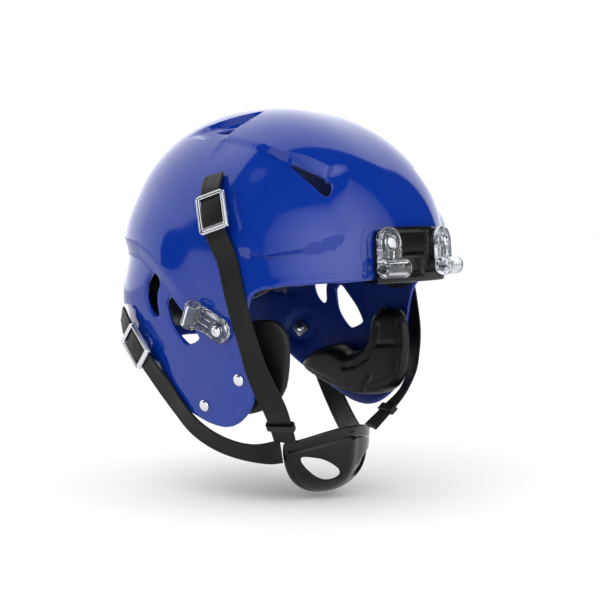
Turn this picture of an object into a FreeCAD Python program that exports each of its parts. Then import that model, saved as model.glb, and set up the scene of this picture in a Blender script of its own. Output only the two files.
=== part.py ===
import FreeCAD, Part
import math
import os

# American football helmet for an adult, worn with a four-point chin strap and without its face guard.
# Millimetres, +Z up. The face looks towards -Y and the wearer's right side is -X.
# The origin is in the median plane at ear level, about half way along the head.

V = FreeCAD.Vector

# ---- shell ----
HALF_WIDTH = 113.0        # greatest half width
FRONT_REACH = 136.4       # from the widest section to the forehead
REAR_REACH = 125.3        # from the widest section to the back of the head
MID_Y = -2.2              # the widest section
WIDEST_Z = 62.0           # height of the greatest outline
CROWN_Z = 180.8           # top of the shell
WALL = 4.0                # polycarbonate wall
DOME_POWERS = (2.13, 1.99, 2.12)                     # side, front and rear curves above the widest height
TAPERS = ((0.25, 1.9), (0.16, 1.6), (0.28, 1.5))     # side, front and rear: loss of reach and its power
TAPER_DEPTH = 172.0       # depth below the widest height over which that reach is lost
PLAN_POWER = 2.53         # squareness of the outline seen from above, at and over the widest height
CHEEK_POWER = 0.8         # how much squarer the outline is at the cheeks
CHEEK_DEPTH = 50.0        # depth below the widest height where it is fully squarer
SHELL_LOW = -90.0         # the blank that the outlines are cut from ends here

# Edge outlines seen from the side, as (y, z)
BROW_EDGE = [(-150, 45), (-111, 42), (-86, 39.5), (-72, 37), (-64, 32), (-59.5, 26)]
FLAP_FRONT = [(-57, 10), (-55.5, -10), (-57, -28), (-58.5, -42), (-57, -49)]
FLAP_FOOT = [(-49, -63), (-36, -73), (-24, -76), (-6, -74), (23, -62)]
NECK_EDGE = [(57, -44), (75, -29), (92, -19), (118, -17), (150, -17)]
EAR_HOLE = [(19, 28), (27, 22), (25, 10), (23, 1), (7, -15),
            (0, -14.5), (-11, -8), (-9, -2), (-2, 8), (9, 19)]
REAR_SLOT = [(40, 45), (30.5, 37), (37, 25), (34, 6), (47, 14), (50, 33)]
SIDE_VENT = [(-74, 136), (-88, 130), (-104, 122), (-107.5, 119),
             (-111, 108), (-107, 107.5), (-97, 119), (-88, 126)]
CROWN_VENT = [(-66, 17), (-69.5, 2), (-65, -11), (-56, -16), (-57, -2)]      # seen from above, as (x, y)

# ---- front bumper ----
BUMPER_HALF_WIDTH = 46.0
BUMPER_TOP = 83.0
BUMPER_FOOT = 38.0
BUMPER_SKIN = 4.5
BUMPER_GAP = 0.3
BUMPER_TONGUE = 12.0      # how far its lower lip reaches in under the brow
BROW_CLEAR = 0.6          # gap between the lip and the brow edge
WINDOW_HALF_WIDTH = 16.0
WINDOW_Z = (61.0, 79.0)
WINDOW_DEPTH = 1.6

# ---- face guard clips ----
FRONT_CLIP_X = 34.0
FRONT_CLIP_Z = 70.0       # height of its screw
FRONT_CLIP = {"reach": 20.5, "width": 24.0, "tube_r": 7.5, "tube_length": 24.0, "plate": 6.0, "lift": 4.9}
SIDE_CLIP_YZ = (-34.0, 1.5)
SIDE_CLIP = {"reach": 27.0, "width": 20.0, "tube_r": 6.8, "tube_length": 20.0, "plate": 6.5, "lift": 0.4}
SIDE_CLIP_TURN = (0.90, 0.44)      # (y, z) direction from its screw to its tube
BAR_BORE_R = 3.9          # for the face guard's wire
SCREW_R = 2.5
SCREW_HOLE_R = 2.8
SCREW_HEAD_R = 4.6
SCREW_HEAD = 2.6
NUT_R = 7.0
NUT_THICK = 1.6
NUT_GAP = 0.6             # flat nut behind the curved wall

# ---- chin strap ----
STRAP_WIDTH = 19.0
STRAP_THICK = 1.8
STRAP_GAP = 1.0           # between webbing and shell
UPPER_STUD = (-31.0, 92.0)         # (y, z) on the side of the shell
LOWER_STUD = (59.0, -16.0)
UPPER_RUN_UP = (0.30, 0.95)        # (y, z) direction of the webbing towards its tail
LOWER_RUN_UP = (0.66, 0.75)
SNAP_HEIGHT = 5.2         # underside of the webbing over the shell at a snap
STUD_FLANGE_R = 6.0
STUD_FLANGE = 0.6
STUD_FOOT_R = 4.4
STUD_TIP_R = 3.3
STUD_RISE = 3.4
STUD_SHANK_R = 2.4
PLATE_SIDE = 12.0
PLATE_THICK = 1.2
PLATE_GAP = 1.0           # flat plate behind the curved wall
CAP_R = 8.4
CAP_BORE_R = 6.8
CAP_ROOF = 1.2
CAP_GAP = 0.9             # rim of the cap over the shell
BUCKLE_WIDTH = 27.0
BUCKLE_LENGTH = 32.0
BUCKLE_BAR = 3.2
BUCKLE_THICK = 2.6
KEEPER_SPAN = 7.0
KEEPER_THICK = 1.2
KEEPER_GAP = 1.0          # between the loop and the webbing inside it
KEEPER_MID = (-70.0, -62.0, -76.0)
KEEPER_ALONG = (0.655, 0.31, -0.69)
KEEPER_OUT = (-0.86, -0.42, -0.3)

# Webbing between the snaps and the cup. On the shell: (y, z). Off it: underside point and outward normal.
UPPER_TAIL = (-20.5, 121.5)
UPPER_ON_SHELL = [(-43, 58), (-49.5, 34), (-57, 6), (-61.5, -11)]
UPPER_TO_FLAP = [((-102.5, -65, -28), (-0.95, -0.3, -0.05)), ((-95, -68.5, -46), (-0.88, -0.45, -0.1)),
                 ((-84, -68, -61), (-0.84, -0.5, -0.2))]
UPPER_END = ((-55.5, -54.5, -91), (-0.9, -0.35, -0.25))
LOWER_TAIL = (81, 9)
LOWER_TAIL_GAP = 4.0
LOWER_ON_SHELL = (37, -47)
LOWER_ON_SHELL_GAP = 1.5
LOWER_TO_CUP = [((-97, 23, -66), (-0.92, 0.1, -0.35)), ((-92, 10, -81), (-0.9, 0.0, -0.4)),
                ((-83, -6, -93), (-0.87, 0.0, -0.4)), ((-70, -24, -100.5), (-0.87, 0.1, -0.35)),
                ((-59.5, -36.5, -102), (-0.88, 0.15, -0.2)), ((-53.6, -44.6, -101), (-0.92, 0.2, -0.1))]

# ---- chin cup ----
CUP_MID = (-48.0, -93.0)  # (y, z) of its widest outline
CUP_HALF_WIDTH = 51.0
CUP_FRONT = 31.0          # from the widest outline to the front of the chin
CUP_REAR = 28.0
CUP_DROP = 46.5
CUP_PLAN_POWER = 1.9      # its outline seen from above
CUP_BOWL_POWER = 2.3      # its section seen from the front
CUP_WALL = 3.2
CUP_LEVELS = (-18, -9, 0, 12, 26, 40, 54, 68, 79, 86)      # degrees from its widest outline to its bottom
# Everything inside this (y, z) outline, over the cup and behind it, is open
CUP_EDGE = [(-120, -66), (-57, -91.5), (-47.5, -92.5), (-46.5, -108), (-46.4, -129), (-50, -137), (-50, -160),
            (60, -160), (60, -66)]
CUP_HOLE_HALF = (16.5, 10.0)
CUP_HOLE_MID = (-10.0, -55.0, -119.0)
CUP_HOLE_LONG = (0.75, -0.62, -0.25)
CUP_HOLE_OUT = (-0.70, -0.66, -0.15)

# ---- pads ----
PAD_GAP = 2.0             # between pads and the shell's inside
POCKET_R = 10.0           # hollow in a pad behind each fastener
POCKET_DEPTH = 7.6        # below the shell's outside
LINER_THICK = 22.0
SHEET_GAP = 1.0
SHEET_THICK = 0.6
SHEET_FRONT_Y = 68.0
SHEET_Z = (-14.0, 40.0)
JAW_PAD_FACE_X = 73.0     # the cheek side of a jaw pad
JAW_PAD_BEVEL = [(-92, -46), (-75, -90), (-140, -90), (-140, -46)]      # (x, y) cut off behind the webbing
JAW_PAD = [(44, -44), (25, -30), (9, -26), (-2, -27), (-12, -33), (-26, -27), (-33, -19), (-37, 2), (-44, 7),
           (-60, 12), (-71, 8), (-79, -6), (-79, -28), (-76, -46), (-66, -59), (-46, -68), (-24, -70),
           (5, -66), (34, -55)]
RIVETS = [(-46.0, -38.0), (-5.0, -62.0)]             # (y, z) of the jaw pad fasteners
RIVET_HEAD_R = 4.8
RIVET_HEAD = 1.4
RIVET_GAP = 0.5           # flat underside of the head over the curved wall
BROW_PAD = ((-58, -200, 46), (58, -60, 104))         # corners of the boxes that the pads are cut from
CROWN_PAD = ((-52, -56, 110), (52, 62, 250))
REAR_PAD = ((-60, 60, -14), (60, 200, 96))
SIDE_PAD = [(-84, 40), (-66, 28), (-48, 22), (-34, 31),      # (y, z)
            (-6, 42), (22, 60), (22, 104), (-76, 104)]
SIDE_PAD_FACE_X = 50.0    # the side pads are cut off here

# ---- how far the cutting shapes reach, all well past the shell ----
ACROSS = 150.0            # to either side of the median plane
PAD_REACH_X = 140.0       # outer end of the blanks of the side and jaw pads
FRONT_Y = -200.0          # in front of the brow
BROW_BACK_Y = -60.0       # behind the bumper


def reaches(z, grow=0.0):
    """Half width, front reach and rear reach of the shell's outline at height z, moved outwards by grow."""
    crown = CROWN_Z + grow
    if z > WIDEST_Z:
        t = min((z - WIDEST_Z) / (crown - WIDEST_Z), 1.0)
        shares = [max(1.0 - t ** power, 0.0) ** (1.0 / power) for power in DOME_POWERS]
    else:
        t = (WIDEST_Z - z) / TAPER_DEPTH
        shares = [1.0 - loss * t ** power for loss, power in TAPERS]
    bases = (HALF_WIDTH, FRONT_REACH, REAR_REACH)
    return [(base + grow) * share for base, share in zip(bases, shares)]


def plan_power(z):
    """Squareness of the outline at height z."""
    t = min(max((WIDEST_Z - z) / CHEEK_DEPTH, 0.0), 1.0)
    return PLAN_POWER + CHEEK_POWER * t * t * (3.0 - 2.0 * t)


def outline(z, half_width, front, rear, mid_y, power, count=44):
    """Closed smooth wire of one level outline."""
    points = []
    for k in range(count):
        angle = 2.0 * math.pi * k / count
        c, s = math.cos(angle), math.sin(angle)
        depth = rear if s > 0 else front
        x = half_width * math.copysign(abs(c) ** (2.0 / power), c)
        y = mid_y + depth * math.copysign(abs(s) ** (2.0 / power), s)
        points.append(V(x, y, z))
    curve = Part.BSplineCurve()
    curve.interpolate(points, PeriodicFlag=True)
    return Part.Wire([curve.toShape()])


def head_form(grow, low=SHELL_LOW):
    """Solid filling the shell's surface moved outwards by grow, from the height low to the crown."""
    crown = CROWN_Z + grow
    rise = crown - WIDEST_Z
    levels = [low + (WIDEST_Z - low) * k / 5.0 for k in range(5)]
    levels += [WIDEST_Z + rise * math.sin(math.radians(a)) for a in (0, 12, 24, 36, 48, 60, 70, 78, 84, 87.5)]
    wires = []
    for z in levels:
        half_width, front, rear = reaches(z, grow)
        wires.append(outline(z, half_width, front, rear, MID_Y, plan_power(z)))
    return Part.makeLoft(wires, True, False)


def side_x(y, z, grow=0.0):
    """Distance of the shell's side from the median plane at (y, z)."""
    half_width, front, rear = reaches(z, grow)
    depth = front if y < MID_Y else rear
    power = plan_power(z)
    return half_width * max(1.0 - (abs(y - MID_Y) / depth) ** power, 0.0) ** (1.0 / power)


def front_y(x, z, grow=0.0):
    """Where the shell's front is at (x, z)."""
    half_width, front, _ = reaches(z, grow)
    power = plan_power(z)
    return MID_Y - front * (1.0 - (abs(x) / half_width) ** power) ** (1.0 / power)


def side_normal(y, z):
    """Outward normal of the shell's right side at (y, z)."""
    step = 0.5
    slope_y = (side_x(y + step, z) - side_x(y - step, z)) / (2 * step)
    slope_z = (side_x(y, z + step) - side_x(y, z - step)) / (2 * step)
    return V(-1.0, -slope_y, -slope_z).normalize()


def front_normal(x, z):
    """Outward normal of the shell's front at (x, z)."""
    step = 0.5
    slope_x = (front_y(x + step, z) - front_y(x - step, z)) / (2 * step)
    slope_z = (front_y(x, z + step) - front_y(x, z - step)) / (2 * step)
    return V(slope_x, -1.0, slope_z).normalize()


def placement(origin, up, normal):
    """Placement whose local z is the normal and whose local y lies along up."""
    w = V(normal).normalize()
    v = (up - w * up.dot(w)).normalize()
    u = v.cross(w)
    rows = [(u.x, v.x, w.x, origin.x), (u.y, v.y, w.y, origin.y), (u.z, v.z, w.z, origin.z), (0, 0, 0, 1)]
    matrix = FreeCAD.Matrix(*[value for row in rows for value in row])
    return FreeCAD.Placement(matrix)


def side_seat(yz, up_yz):
    """Placement of a fitting on the right side of the shell."""
    y, z = yz
    return placement(V(-side_x(y, z), y, z), V(0, up_yz[0], up_yz[1]), side_normal(y, z))


def front_seat(x, z):
    """Placement of a fitting on the front of the shell."""
    return placement(V(x, front_y(x, z), z), V(0, 0, 1), front_normal(x, z))


def placed(shape, seat):
    """Copy of a shape built in local axes, moved to its seat."""
    moved = shape.copy()
    moved.Placement = seat.multiply(moved.Placement)
    return moved


def mirrored(shape):
    """Left-hand twin of a right-hand shape."""
    return shape.mirror(V(0, 0, 0), V(1, 0, 0))


def both_sides(shape):
    return [shape, mirrored(shape)]


def prism(points, axis, start, length):
    """Straight prism along X ('x') or Z ('z') through a polygon given by its other two coordinates."""
    if axis == "x":
        corners = [V(start, a, b) for a, b in points]
        sweep = V(length, 0, 0)
    else:
        corners = [V(a, b, start) for a, b in points]
        sweep = V(0, 0, length)
    return Part.Face(Part.makePolygon(corners + corners[:1])).extrude(sweep)


def across(points):
    """Prism right across the shell through a (y, z) polygon."""
    return prism(points, "x", -ACROSS, 2 * ACROSS)


def block(low, high):
    """Box between two opposite corners."""
    return Part.makeBox(high[0] - low[0], high[1] - low[1], high[2] - low[2], V(*low))


def cylinder(radius, low, high):
    """Cylinder about the local z axis."""
    return Part.makeCylinder(radius, high - low, V(0, 0, low))


def stadium(half_width, reach, low, high):
    """Plate with one round end about the local origin and a straight run along local y."""
    return cylinder(half_width, low, high).fuse(block((-half_width, 0, low), (half_width, reach, high)))


def bored(shape, seats, radius, low=-15.0):
    """Shape with a hole along each seat's normal, from low to well outside the shell."""
    for seat in seats:
        shape = shape.cut(placed(cylinder(radius, low, 15.0), seat))
    return shape


def save(name, shape):
    shape.removeSplitter().exportStep(os.path.join("parts", name + ".step"))


# ---- seats of the fittings: the right-hand one, then its twin ----
def twin(seat):
    """Mirror image of a right-hand seat, again a proper right-handed frame."""
    base = V(-seat.Base.x, seat.Base.y, seat.Base.z)
    up = seat.Rotation.multVec(V(0, 1, 0))
    normal = seat.Rotation.multVec(V(0, 0, 1))
    return placement(base, V(-up.x, up.y, up.z), V(-normal.x, normal.y, normal.z))


UPPER_SEAT = side_seat(UPPER_STUD, UPPER_RUN_UP)
LOWER_SEAT = side_seat(LOWER_STUD, LOWER_RUN_UP)
SIDE_CLIP_SEAT = side_seat(SIDE_CLIP_YZ, SIDE_CLIP_TURN)
FRONT_CLIP_SEAT = front_seat(-FRONT_CLIP_X, FRONT_CLIP_Z)
RIVET_SEATS = [side_seat(yz, (0, 1)) for yz in RIVETS]
STUD_SEATS = [UPPER_SEAT, twin(UPPER_SEAT), LOWER_SEAT, twin(LOWER_SEAT)]
CLIP_SCREW_SEATS = [FRONT_CLIP_SEAT, twin(FRONT_CLIP_SEAT), SIDE_CLIP_SEAT, twin(SIDE_CLIP_SEAT)]
ALL_RIVET_SEATS = RIVET_SEATS + [twin(seat) for seat in RIVET_SEATS]


def shell():
    """Hard outer shell with its face opening, ear holes and vents."""
    body = head_form(0.0).cut(head_form(-WALL, SHELL_LOW - 1.0))
    below = [(-200, BROW_EDGE[0][1])] + BROW_EDGE + FLAP_FRONT + FLAP_FOOT + NECK_EDGE
    below += [(200, NECK_EDGE[-1][1]), (200, -120), (-200, -120)]
    for hole in (below, EAR_HOLE, REAR_SLOT, SIDE_VENT):
        body = body.cut(across(hole))
    for vent in both_sides(prism(CROWN_VENT, "z", 140, 50)):
        body = body.cut(vent)
    body = bored(body, STUD_SEATS, STUD_SHANK_R + 0.1)
    body = bored(body, CLIP_SCREW_SEATS, SCREW_HOLE_R)
    return bored(body, ALL_RIVET_SEATS, STUD_SHANK_R + 0.1)


def front_bumper():
    """Moulded guard over the middle of the brow, hooked under its edge."""
    w = BUMPER_HALF_WIDTH
    outer = head_form(BUMPER_SKIN)
    front = block((-w, FRONT_Y, BUMPER_FOOT), (w, BROW_BACK_Y, BUMPER_TOP))
    plate = outer.common(front).cut(head_form(BUMPER_GAP))
    over_brow = [(y, z - BROW_CLEAR) for y, z in BROW_EDGE[:3]] + [(BROW_BACK_Y, 60), (-150, 60)]
    lip = outer.common(block((-w, FRONT_Y, BUMPER_FOOT), (w, BROW_BACK_Y, BROW_EDGE[0][1])))
    lip = lip.cut(head_form(-BUMPER_TONGUE)).cut(across(over_brow))
    body = plate.fuse(lip)
    half = WINDOW_HALF_WIDTH
    window = block((-half, FRONT_Y, WINDOW_Z[0]), (half, BROW_BACK_Y, WINDOW_Z[1]))
    body = body.cut(outer.common(window).cut(head_form(BUMPER_SKIN - WINDOW_DEPTH)))
    screws = [FRONT_CLIP_SEAT, twin(FRONT_CLIP_SEAT)]
    return bored(body, screws, SCREW_HOLE_R)


def clip(size):
    """Face guard clip about its screw: a plate that ends in a tube for the guard's wire."""
    low = size["lift"]
    tube_y = size["reach"]
    tube_z = low + size["tube_r"]
    plate = stadium(size["width"] / 2, tube_y, low, low + size["plate"])
    centre = V(-size["tube_length"] / 2, tube_y, tube_z)
    tube = Part.makeCylinder(size["tube_r"], size["tube_length"], centre, V(1, 0, 0))
    bore = Part.makeCylinder(BAR_BORE_R, size["width"] * 2, V(-size["width"], tube_y, tube_z), V(1, 0, 0))
    hole = cylinder(SCREW_HOLE_R, low - 5, low + 20)
    return plate.fuse(tube).cut(bore).cut(hole)


def flipped(seat):
    """The same seat turned half a turn about its normal."""
    return seat.multiply(FreeCAD.Placement(V(0, 0, 0), FreeCAD.Rotation(V(0, 0, 1), 180)))


def clip_screw(size):
    """Screw through a clip and the shell into its nut."""
    top = size["lift"] + size["plate"]
    head = cylinder(SCREW_HEAD_R, top, top + SCREW_HEAD)
    seat = -WALL - NUT_GAP
    shank = cylinder(SCREW_R, seat - NUT_THICK, top)
    nut = cylinder(NUT_R, seat - NUT_THICK, seat)
    return head.fuse(shank).fuse(nut)


def snap_stud():
    """Male snap riveted through the shell."""
    flange = cylinder(STUD_FLANGE_R, 0.1, STUD_FLANGE)
    knob = Part.makeCone(STUD_FOOT_R, STUD_TIP_R, STUD_RISE - STUD_FLANGE, V(0, 0, STUD_FLANGE))
    shank = cylinder(STUD_SHANK_R, -WALL - PLATE_GAP, 0.1)
    return flange.fuse(knob).fuse(shank)


def back_plate():
    """Square plate behind a snap."""
    half = PLATE_SIDE / 2
    return block((-half, -half, -WALL - PLATE_GAP - PLATE_THICK), (half, half, -WALL - PLATE_GAP))


def rivet():
    """Domed fastener that a jaw pad snaps on."""
    head = cylinder(RIVET_HEAD_R, RIVET_GAP, RIVET_GAP + RIVET_HEAD)
    return head.fuse(cylinder(STUD_SHANK_R, -WALL - 0.4, RIVET_GAP + 0.1))


def snap_cap():
    """Cap under the webbing that closes over the stud."""
    body = cylinder(CAP_R, CAP_GAP, SNAP_HEIGHT)
    return body.cut(cylinder(CAP_BORE_R, CAP_GAP - 1, SNAP_HEIGHT - CAP_ROOF))


def buckle():
    """Ladder buckle round the webbing: a frame with a cross bar above it and side rails beside it."""
    half_w, half_l = BUCKLE_WIDTH / 2, BUCKLE_LENGTH / 2
    low = SNAP_HEIGHT + STRAP_THICK + 0.2
    high = low + BUCKLE_THICK
    frame = block((-half_w, -half_l, low), (half_w, half_l, high))
    open_w, open_l = half_w - BUCKLE_BAR, half_l - BUCKLE_BAR
    window = block((-open_w, -open_l, low - 1), (open_w, open_l, high + 1))
    bar = block((-half_w + 1, -1.6, low), (half_w - 1, 1.6, high - 0.8))
    body = frame.cut(window).fuse(bar)
    for side in (-1, 1):
        inner = side * (STRAP_WIDTH / 2 + 0.3)
        outer = side * half_w
        rail = block((min(inner, outer), -half_l, SNAP_HEIGHT), (max(inner, outer), half_l, low))
        body = body.fuse(rail)
    return body


def shell_station(y, z, gap):
    """Point just outside the shell's right side with the normal there."""
    normal = side_normal(y, z)
    return V(-side_x(y, z), y, z) + normal * gap, normal


def seat_station(seat, y, height):
    """Point over a seat with the seat's normal."""
    return seat.multVec(V(0, y, height)), seat.Rotation.multVec(V(0, 0, 1))


def webbing(stations):
    """Flat strap through (underside point, outward normal) stations."""
    wires = []
    half = STRAP_WIDTH / 2
    for k, (point, normal) in enumerate(stations):
        ahead = stations[min(k + 1, len(stations) - 1)][0] - stations[max(k - 1, 0)][0]
        across = normal.cross(ahead).normalize() * half
        out = ahead.cross(normal).cross(ahead).normalize() * STRAP_THICK
        corners = [point - across, point + across, point + across + out, point - across + out]
        wires.append(Part.makePolygon(corners + corners[:1]))
    return Part.makeLoft(wires, True, True)


def upper_strap():
    """Webbing from the cup up the front of the jaw flap to the upper snap."""
    half = BUCKLE_LENGTH / 2 + 2
    stations = [shell_station(*UPPER_TAIL, STRAP_GAP + 0.6),
                seat_station(UPPER_SEAT, half, SNAP_HEIGHT),
                seat_station(UPPER_SEAT, -half, SNAP_HEIGHT)]
    stations += [shell_station(y, z, STRAP_GAP) for y, z in UPPER_ON_SHELL]
    free = UPPER_TO_FLAP + [(KEEPER_MID, KEEPER_OUT), UPPER_END]
    stations += [(V(*point), V(*normal)) for point, normal in free]
    return webbing(stations)


def lower_strap():
    """Webbing from the cup back under the jaw flap to the lower snap."""
    half = BUCKLE_LENGTH / 2 + 2
    stations = [shell_station(*LOWER_TAIL, LOWER_TAIL_GAP),
                seat_station(LOWER_SEAT, half, SNAP_HEIGHT),
                seat_station(LOWER_SEAT, -half, SNAP_HEIGHT),
                shell_station(*LOWER_ON_SHELL, LOWER_ON_SHELL_GAP)]
    stations += [(V(*point), V(*normal)) for point, normal in LOWER_TO_CUP]
    return webbing(stations)


def strap_keeper():
    """Loop that holds the doubled webbing just above the cup."""
    along = V(*KEEPER_ALONG).normalize()
    out = V(*KEEPER_OUT) - along * V(*KEEPER_OUT).dot(along)
    seat = placement(V(*KEEPER_MID), along * -1.0, out.normalize())
    half_w = STRAP_WIDTH / 2 + KEEPER_GAP
    half = KEEPER_SPAN / 2
    thick = KEEPER_THICK
    high = STRAP_THICK + KEEPER_GAP
    outer = block((-half_w - thick, -half, -KEEPER_GAP - thick), (half_w + thick, half, high + thick))
    inner = block((-half_w, -half - 1, -KEEPER_GAP), (half_w, half + 1, high))
    return placed(outer.cut(inner), seat)


def cup_form(grow):
    """Bowl-shaped solid of the chin cup moved outwards by grow."""
    mid_y, mid_z = CUP_MID
    wires = []
    for angle in CUP_LEVELS:
        rise = math.sin(math.radians(angle))
        share = (1.0 - max(rise, 0.0) ** CUP_BOWL_POWER) ** (1.0 / CUP_BOWL_POWER)
        reach = [(base + grow) * share for base in (CUP_HALF_WIDTH, CUP_FRONT, CUP_REAR)]
        wires.append(outline(mid_z - (CUP_DROP + grow) * rise, *reach, mid_y, CUP_PLAN_POWER, 32))
    return Part.makeLoft(wires, True, False)


def chin_cup():
    """Open bowl under and before the chin, with a large hole in each side."""
    body = cup_form(0.0).cut(cup_form(-CUP_WALL))
    body = body.cut(across(CUP_EDGE))
    stretch = FreeCAD.Matrix()
    stretch.scale(CUP_HOLE_HALF[0], CUP_HOLE_HALF[1], 1.0)
    hole = Part.makeCylinder(1.0, 60.0).transformGeometry(stretch)
    seat = placement(V(*CUP_HOLE_MID), V(*CUP_HOLE_LONG).cross(V(*CUP_HOLE_OUT)), V(*CUP_HOLE_OUT))
    for cutter in both_sides(placed(hole, seat)):
        body = body.cut(cutter)
    return body


def jaw_pad(inner_form):
    """Cheek pad inside a jaw flap, filling the gap between the flap and the cheek."""
    pad = inner_form.common(prism(JAW_PAD, "x", -PAD_REACH_X, PAD_REACH_X - JAW_PAD_FACE_X))
    pad = pad.cut(prism(JAW_PAD_BEVEL, "z", -100, 150))
    return bored(pad, RIVET_SEATS + [SIDE_CLIP_SEAT], POCKET_R, -POCKET_DEPTH)


def liner_pads():
    """Liner pads between the shell and the head, by name."""
    outer = head_form(-WALL - PAD_GAP, -60)
    inner = head_form(-WALL - PAD_GAP - LINER_THICK, -61)
    layer = bored(outer.cut(inner), STUD_SEATS + CLIP_SCREW_SEATS, POCKET_R, -POCKET_DEPTH)
    side_pad = layer.common(prism(SIDE_PAD, "x", -PAD_REACH_X, PAD_REACH_X - SIDE_PAD_FACE_X))
    return {"brow_pad": layer.common(block(*BROW_PAD)), "crown_pad": layer.common(block(*CROWN_PAD)),
            "rear_pad": layer.common(block(*REAR_PAD)), "side_pad_right": side_pad,
            "side_pad_left": mirrored(side_pad)}


def liner_sheet():
    """Clear sheet that carries the rear pad and shows past its sides."""
    layer = head_form(-WALL - SHEET_GAP, -60).cut(head_form(-WALL - SHEET_GAP - SHEET_THICK, -61))
    return layer.common(block((-150, SHEET_FRONT_Y, SHEET_Z[0]), (150, 200, SHEET_Z[1])))


def main():
    os.makedirs("parts", exist_ok=True)
    pieces = {"shell": shell(), "front_bumper": front_bumper(), "chin_cup": chin_cup()}
    pieces.update(liner_pads())
    pieces["liner_sheet"] = liner_sheet()
    front, side = clip(FRONT_CLIP), clip(SIDE_CLIP)
    right_hand = {
        "front_clip": placed(front, flipped(FRONT_CLIP_SEAT)),
        "side_clip": placed(side, SIDE_CLIP_SEAT),
        "front_clip_screw": placed(clip_screw(FRONT_CLIP), FRONT_CLIP_SEAT),
        "side_clip_screw": placed(clip_screw(SIDE_CLIP), SIDE_CLIP_SEAT),
        "upper_strap": upper_strap(),
        "lower_strap": lower_strap(),
        "upper_buckle": placed(buckle(), UPPER_SEAT),
        "lower_buckle": placed(buckle(), LOWER_SEAT),
        "upper_snap_cap": placed(snap_cap(), UPPER_SEAT),
        "lower_snap_cap": placed(snap_cap(), LOWER_SEAT),
        "strap_keeper": strap_keeper(),
        "jaw_pad": jaw_pad(head_form(-WALL - PAD_GAP)),
    }
    for name, shape in right_hand.items():
        pieces[name + "_right"], pieces[name + "_left"] = both_sides(shape)
    pieces["strap_studs"] = Part.makeCompound([placed(snap_stud(), seat) for seat in STUD_SEATS])
    pieces["stud_back_plates"] = Part.makeCompound([placed(back_plate(), seat) for seat in STUD_SEATS])
    pieces["jaw_pad_rivets"] = Part.makeCompound([placed(rivet(), seat) for seat in ALL_RIVET_SEATS])
    for name, shape in pieces.items():
        volume = round(shape.Volume / 1000, 1)
        print(name, "solids", len(shape.Solids), "valid", shape.isValid(), "cm3", volume)
        save(name, shape)


main()
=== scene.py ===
import bpy
import bmesh
import math
import numpy as np
from mathutils import Matrix, Vector, geometry, kdtree


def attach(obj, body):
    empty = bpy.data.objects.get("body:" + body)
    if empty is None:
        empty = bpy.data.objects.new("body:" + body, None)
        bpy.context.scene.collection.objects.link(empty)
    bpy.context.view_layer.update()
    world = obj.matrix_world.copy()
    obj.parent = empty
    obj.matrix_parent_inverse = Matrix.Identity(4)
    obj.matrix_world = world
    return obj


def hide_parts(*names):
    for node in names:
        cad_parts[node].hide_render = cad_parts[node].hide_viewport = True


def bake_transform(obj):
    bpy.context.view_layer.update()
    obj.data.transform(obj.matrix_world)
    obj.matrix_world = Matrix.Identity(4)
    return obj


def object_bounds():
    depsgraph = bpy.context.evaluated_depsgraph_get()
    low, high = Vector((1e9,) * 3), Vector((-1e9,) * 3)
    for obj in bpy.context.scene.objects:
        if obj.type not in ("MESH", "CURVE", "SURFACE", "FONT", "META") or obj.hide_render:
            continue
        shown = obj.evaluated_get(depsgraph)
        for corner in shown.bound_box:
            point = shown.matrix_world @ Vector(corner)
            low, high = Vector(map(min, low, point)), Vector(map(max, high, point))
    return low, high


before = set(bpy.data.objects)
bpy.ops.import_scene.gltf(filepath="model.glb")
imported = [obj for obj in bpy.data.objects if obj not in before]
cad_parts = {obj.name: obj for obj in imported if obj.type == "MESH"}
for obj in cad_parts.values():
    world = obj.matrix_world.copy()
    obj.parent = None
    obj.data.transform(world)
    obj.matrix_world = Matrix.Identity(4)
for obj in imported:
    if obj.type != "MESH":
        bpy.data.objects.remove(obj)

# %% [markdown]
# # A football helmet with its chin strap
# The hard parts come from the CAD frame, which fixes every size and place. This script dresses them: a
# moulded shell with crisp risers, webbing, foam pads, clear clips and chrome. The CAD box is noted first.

CAD_BOX = [list(corner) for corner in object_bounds()]
MM = 0.001


def unit(rows):
    """Each row at length 1."""
    return rows / np.linalg.norm(rows, axis=1)[:, None]


def run_of(points):
    """Distance along a line at each of its points."""
    return np.concatenate([[0.0], np.cumsum(np.linalg.norm(np.diff(points, axis=0), axis=1))])


def ease(t):
    """Smooth step from 0 to 1."""
    t = np.clip(t, 0.0, 1.0)
    return t * t * (3.0 - 2.0 * t)


print("CAD box in metres:", CAD_BOX)

# %% [markdown]
# ## The head form
# A helmet shell is moulded over a head-shaped form. Each level outline of the form is a superellipse, a
# rounded box, and its reach shrinks towards the crown and a little towards the neck. One formula gives a
# smoother surface than any hand-placed mesh, and every part that lies on the shell can ask it for a point
# and a normal.

# %% The form's outline at each height, in millimetres
HALF_WIDTH, FRONT_REACH, REAR_REACH = 113.0, 136.4, 125.3
MID_Y, WIDEST_Z, CROWN_Z = -2.2, 62.0, 180.8
DOME_POWERS = (2.13, 1.99, 2.12)
TAPERS = ((0.25, 1.9), (0.16, 1.6), (0.28, 1.5))
TAPER_DEPTH = 172.0
PLAN_POWER, CHEEK_POWER, CHEEK_DEPTH = 2.53, 0.8, 50.0
WALL = 4.0


def reaches(z):
    """Half width, front reach and rear reach at the heights z."""
    up = np.clip((z - WIDEST_Z) / (CROWN_Z - WIDEST_Z), 0.0, 1.0)
    down = np.clip((WIDEST_Z - z) / TAPER_DEPTH, 0.0, 1.5)
    out = []
    for base, power, (loss, fall) in zip((HALF_WIDTH, FRONT_REACH, REAR_REACH), DOME_POWERS, TAPERS):
        dome = np.maximum(1.0 - up ** power, 1e-9) ** (1.0 / power)
        out.append(base * dome * (1.0 - loss * down ** fall))
    return out


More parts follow.
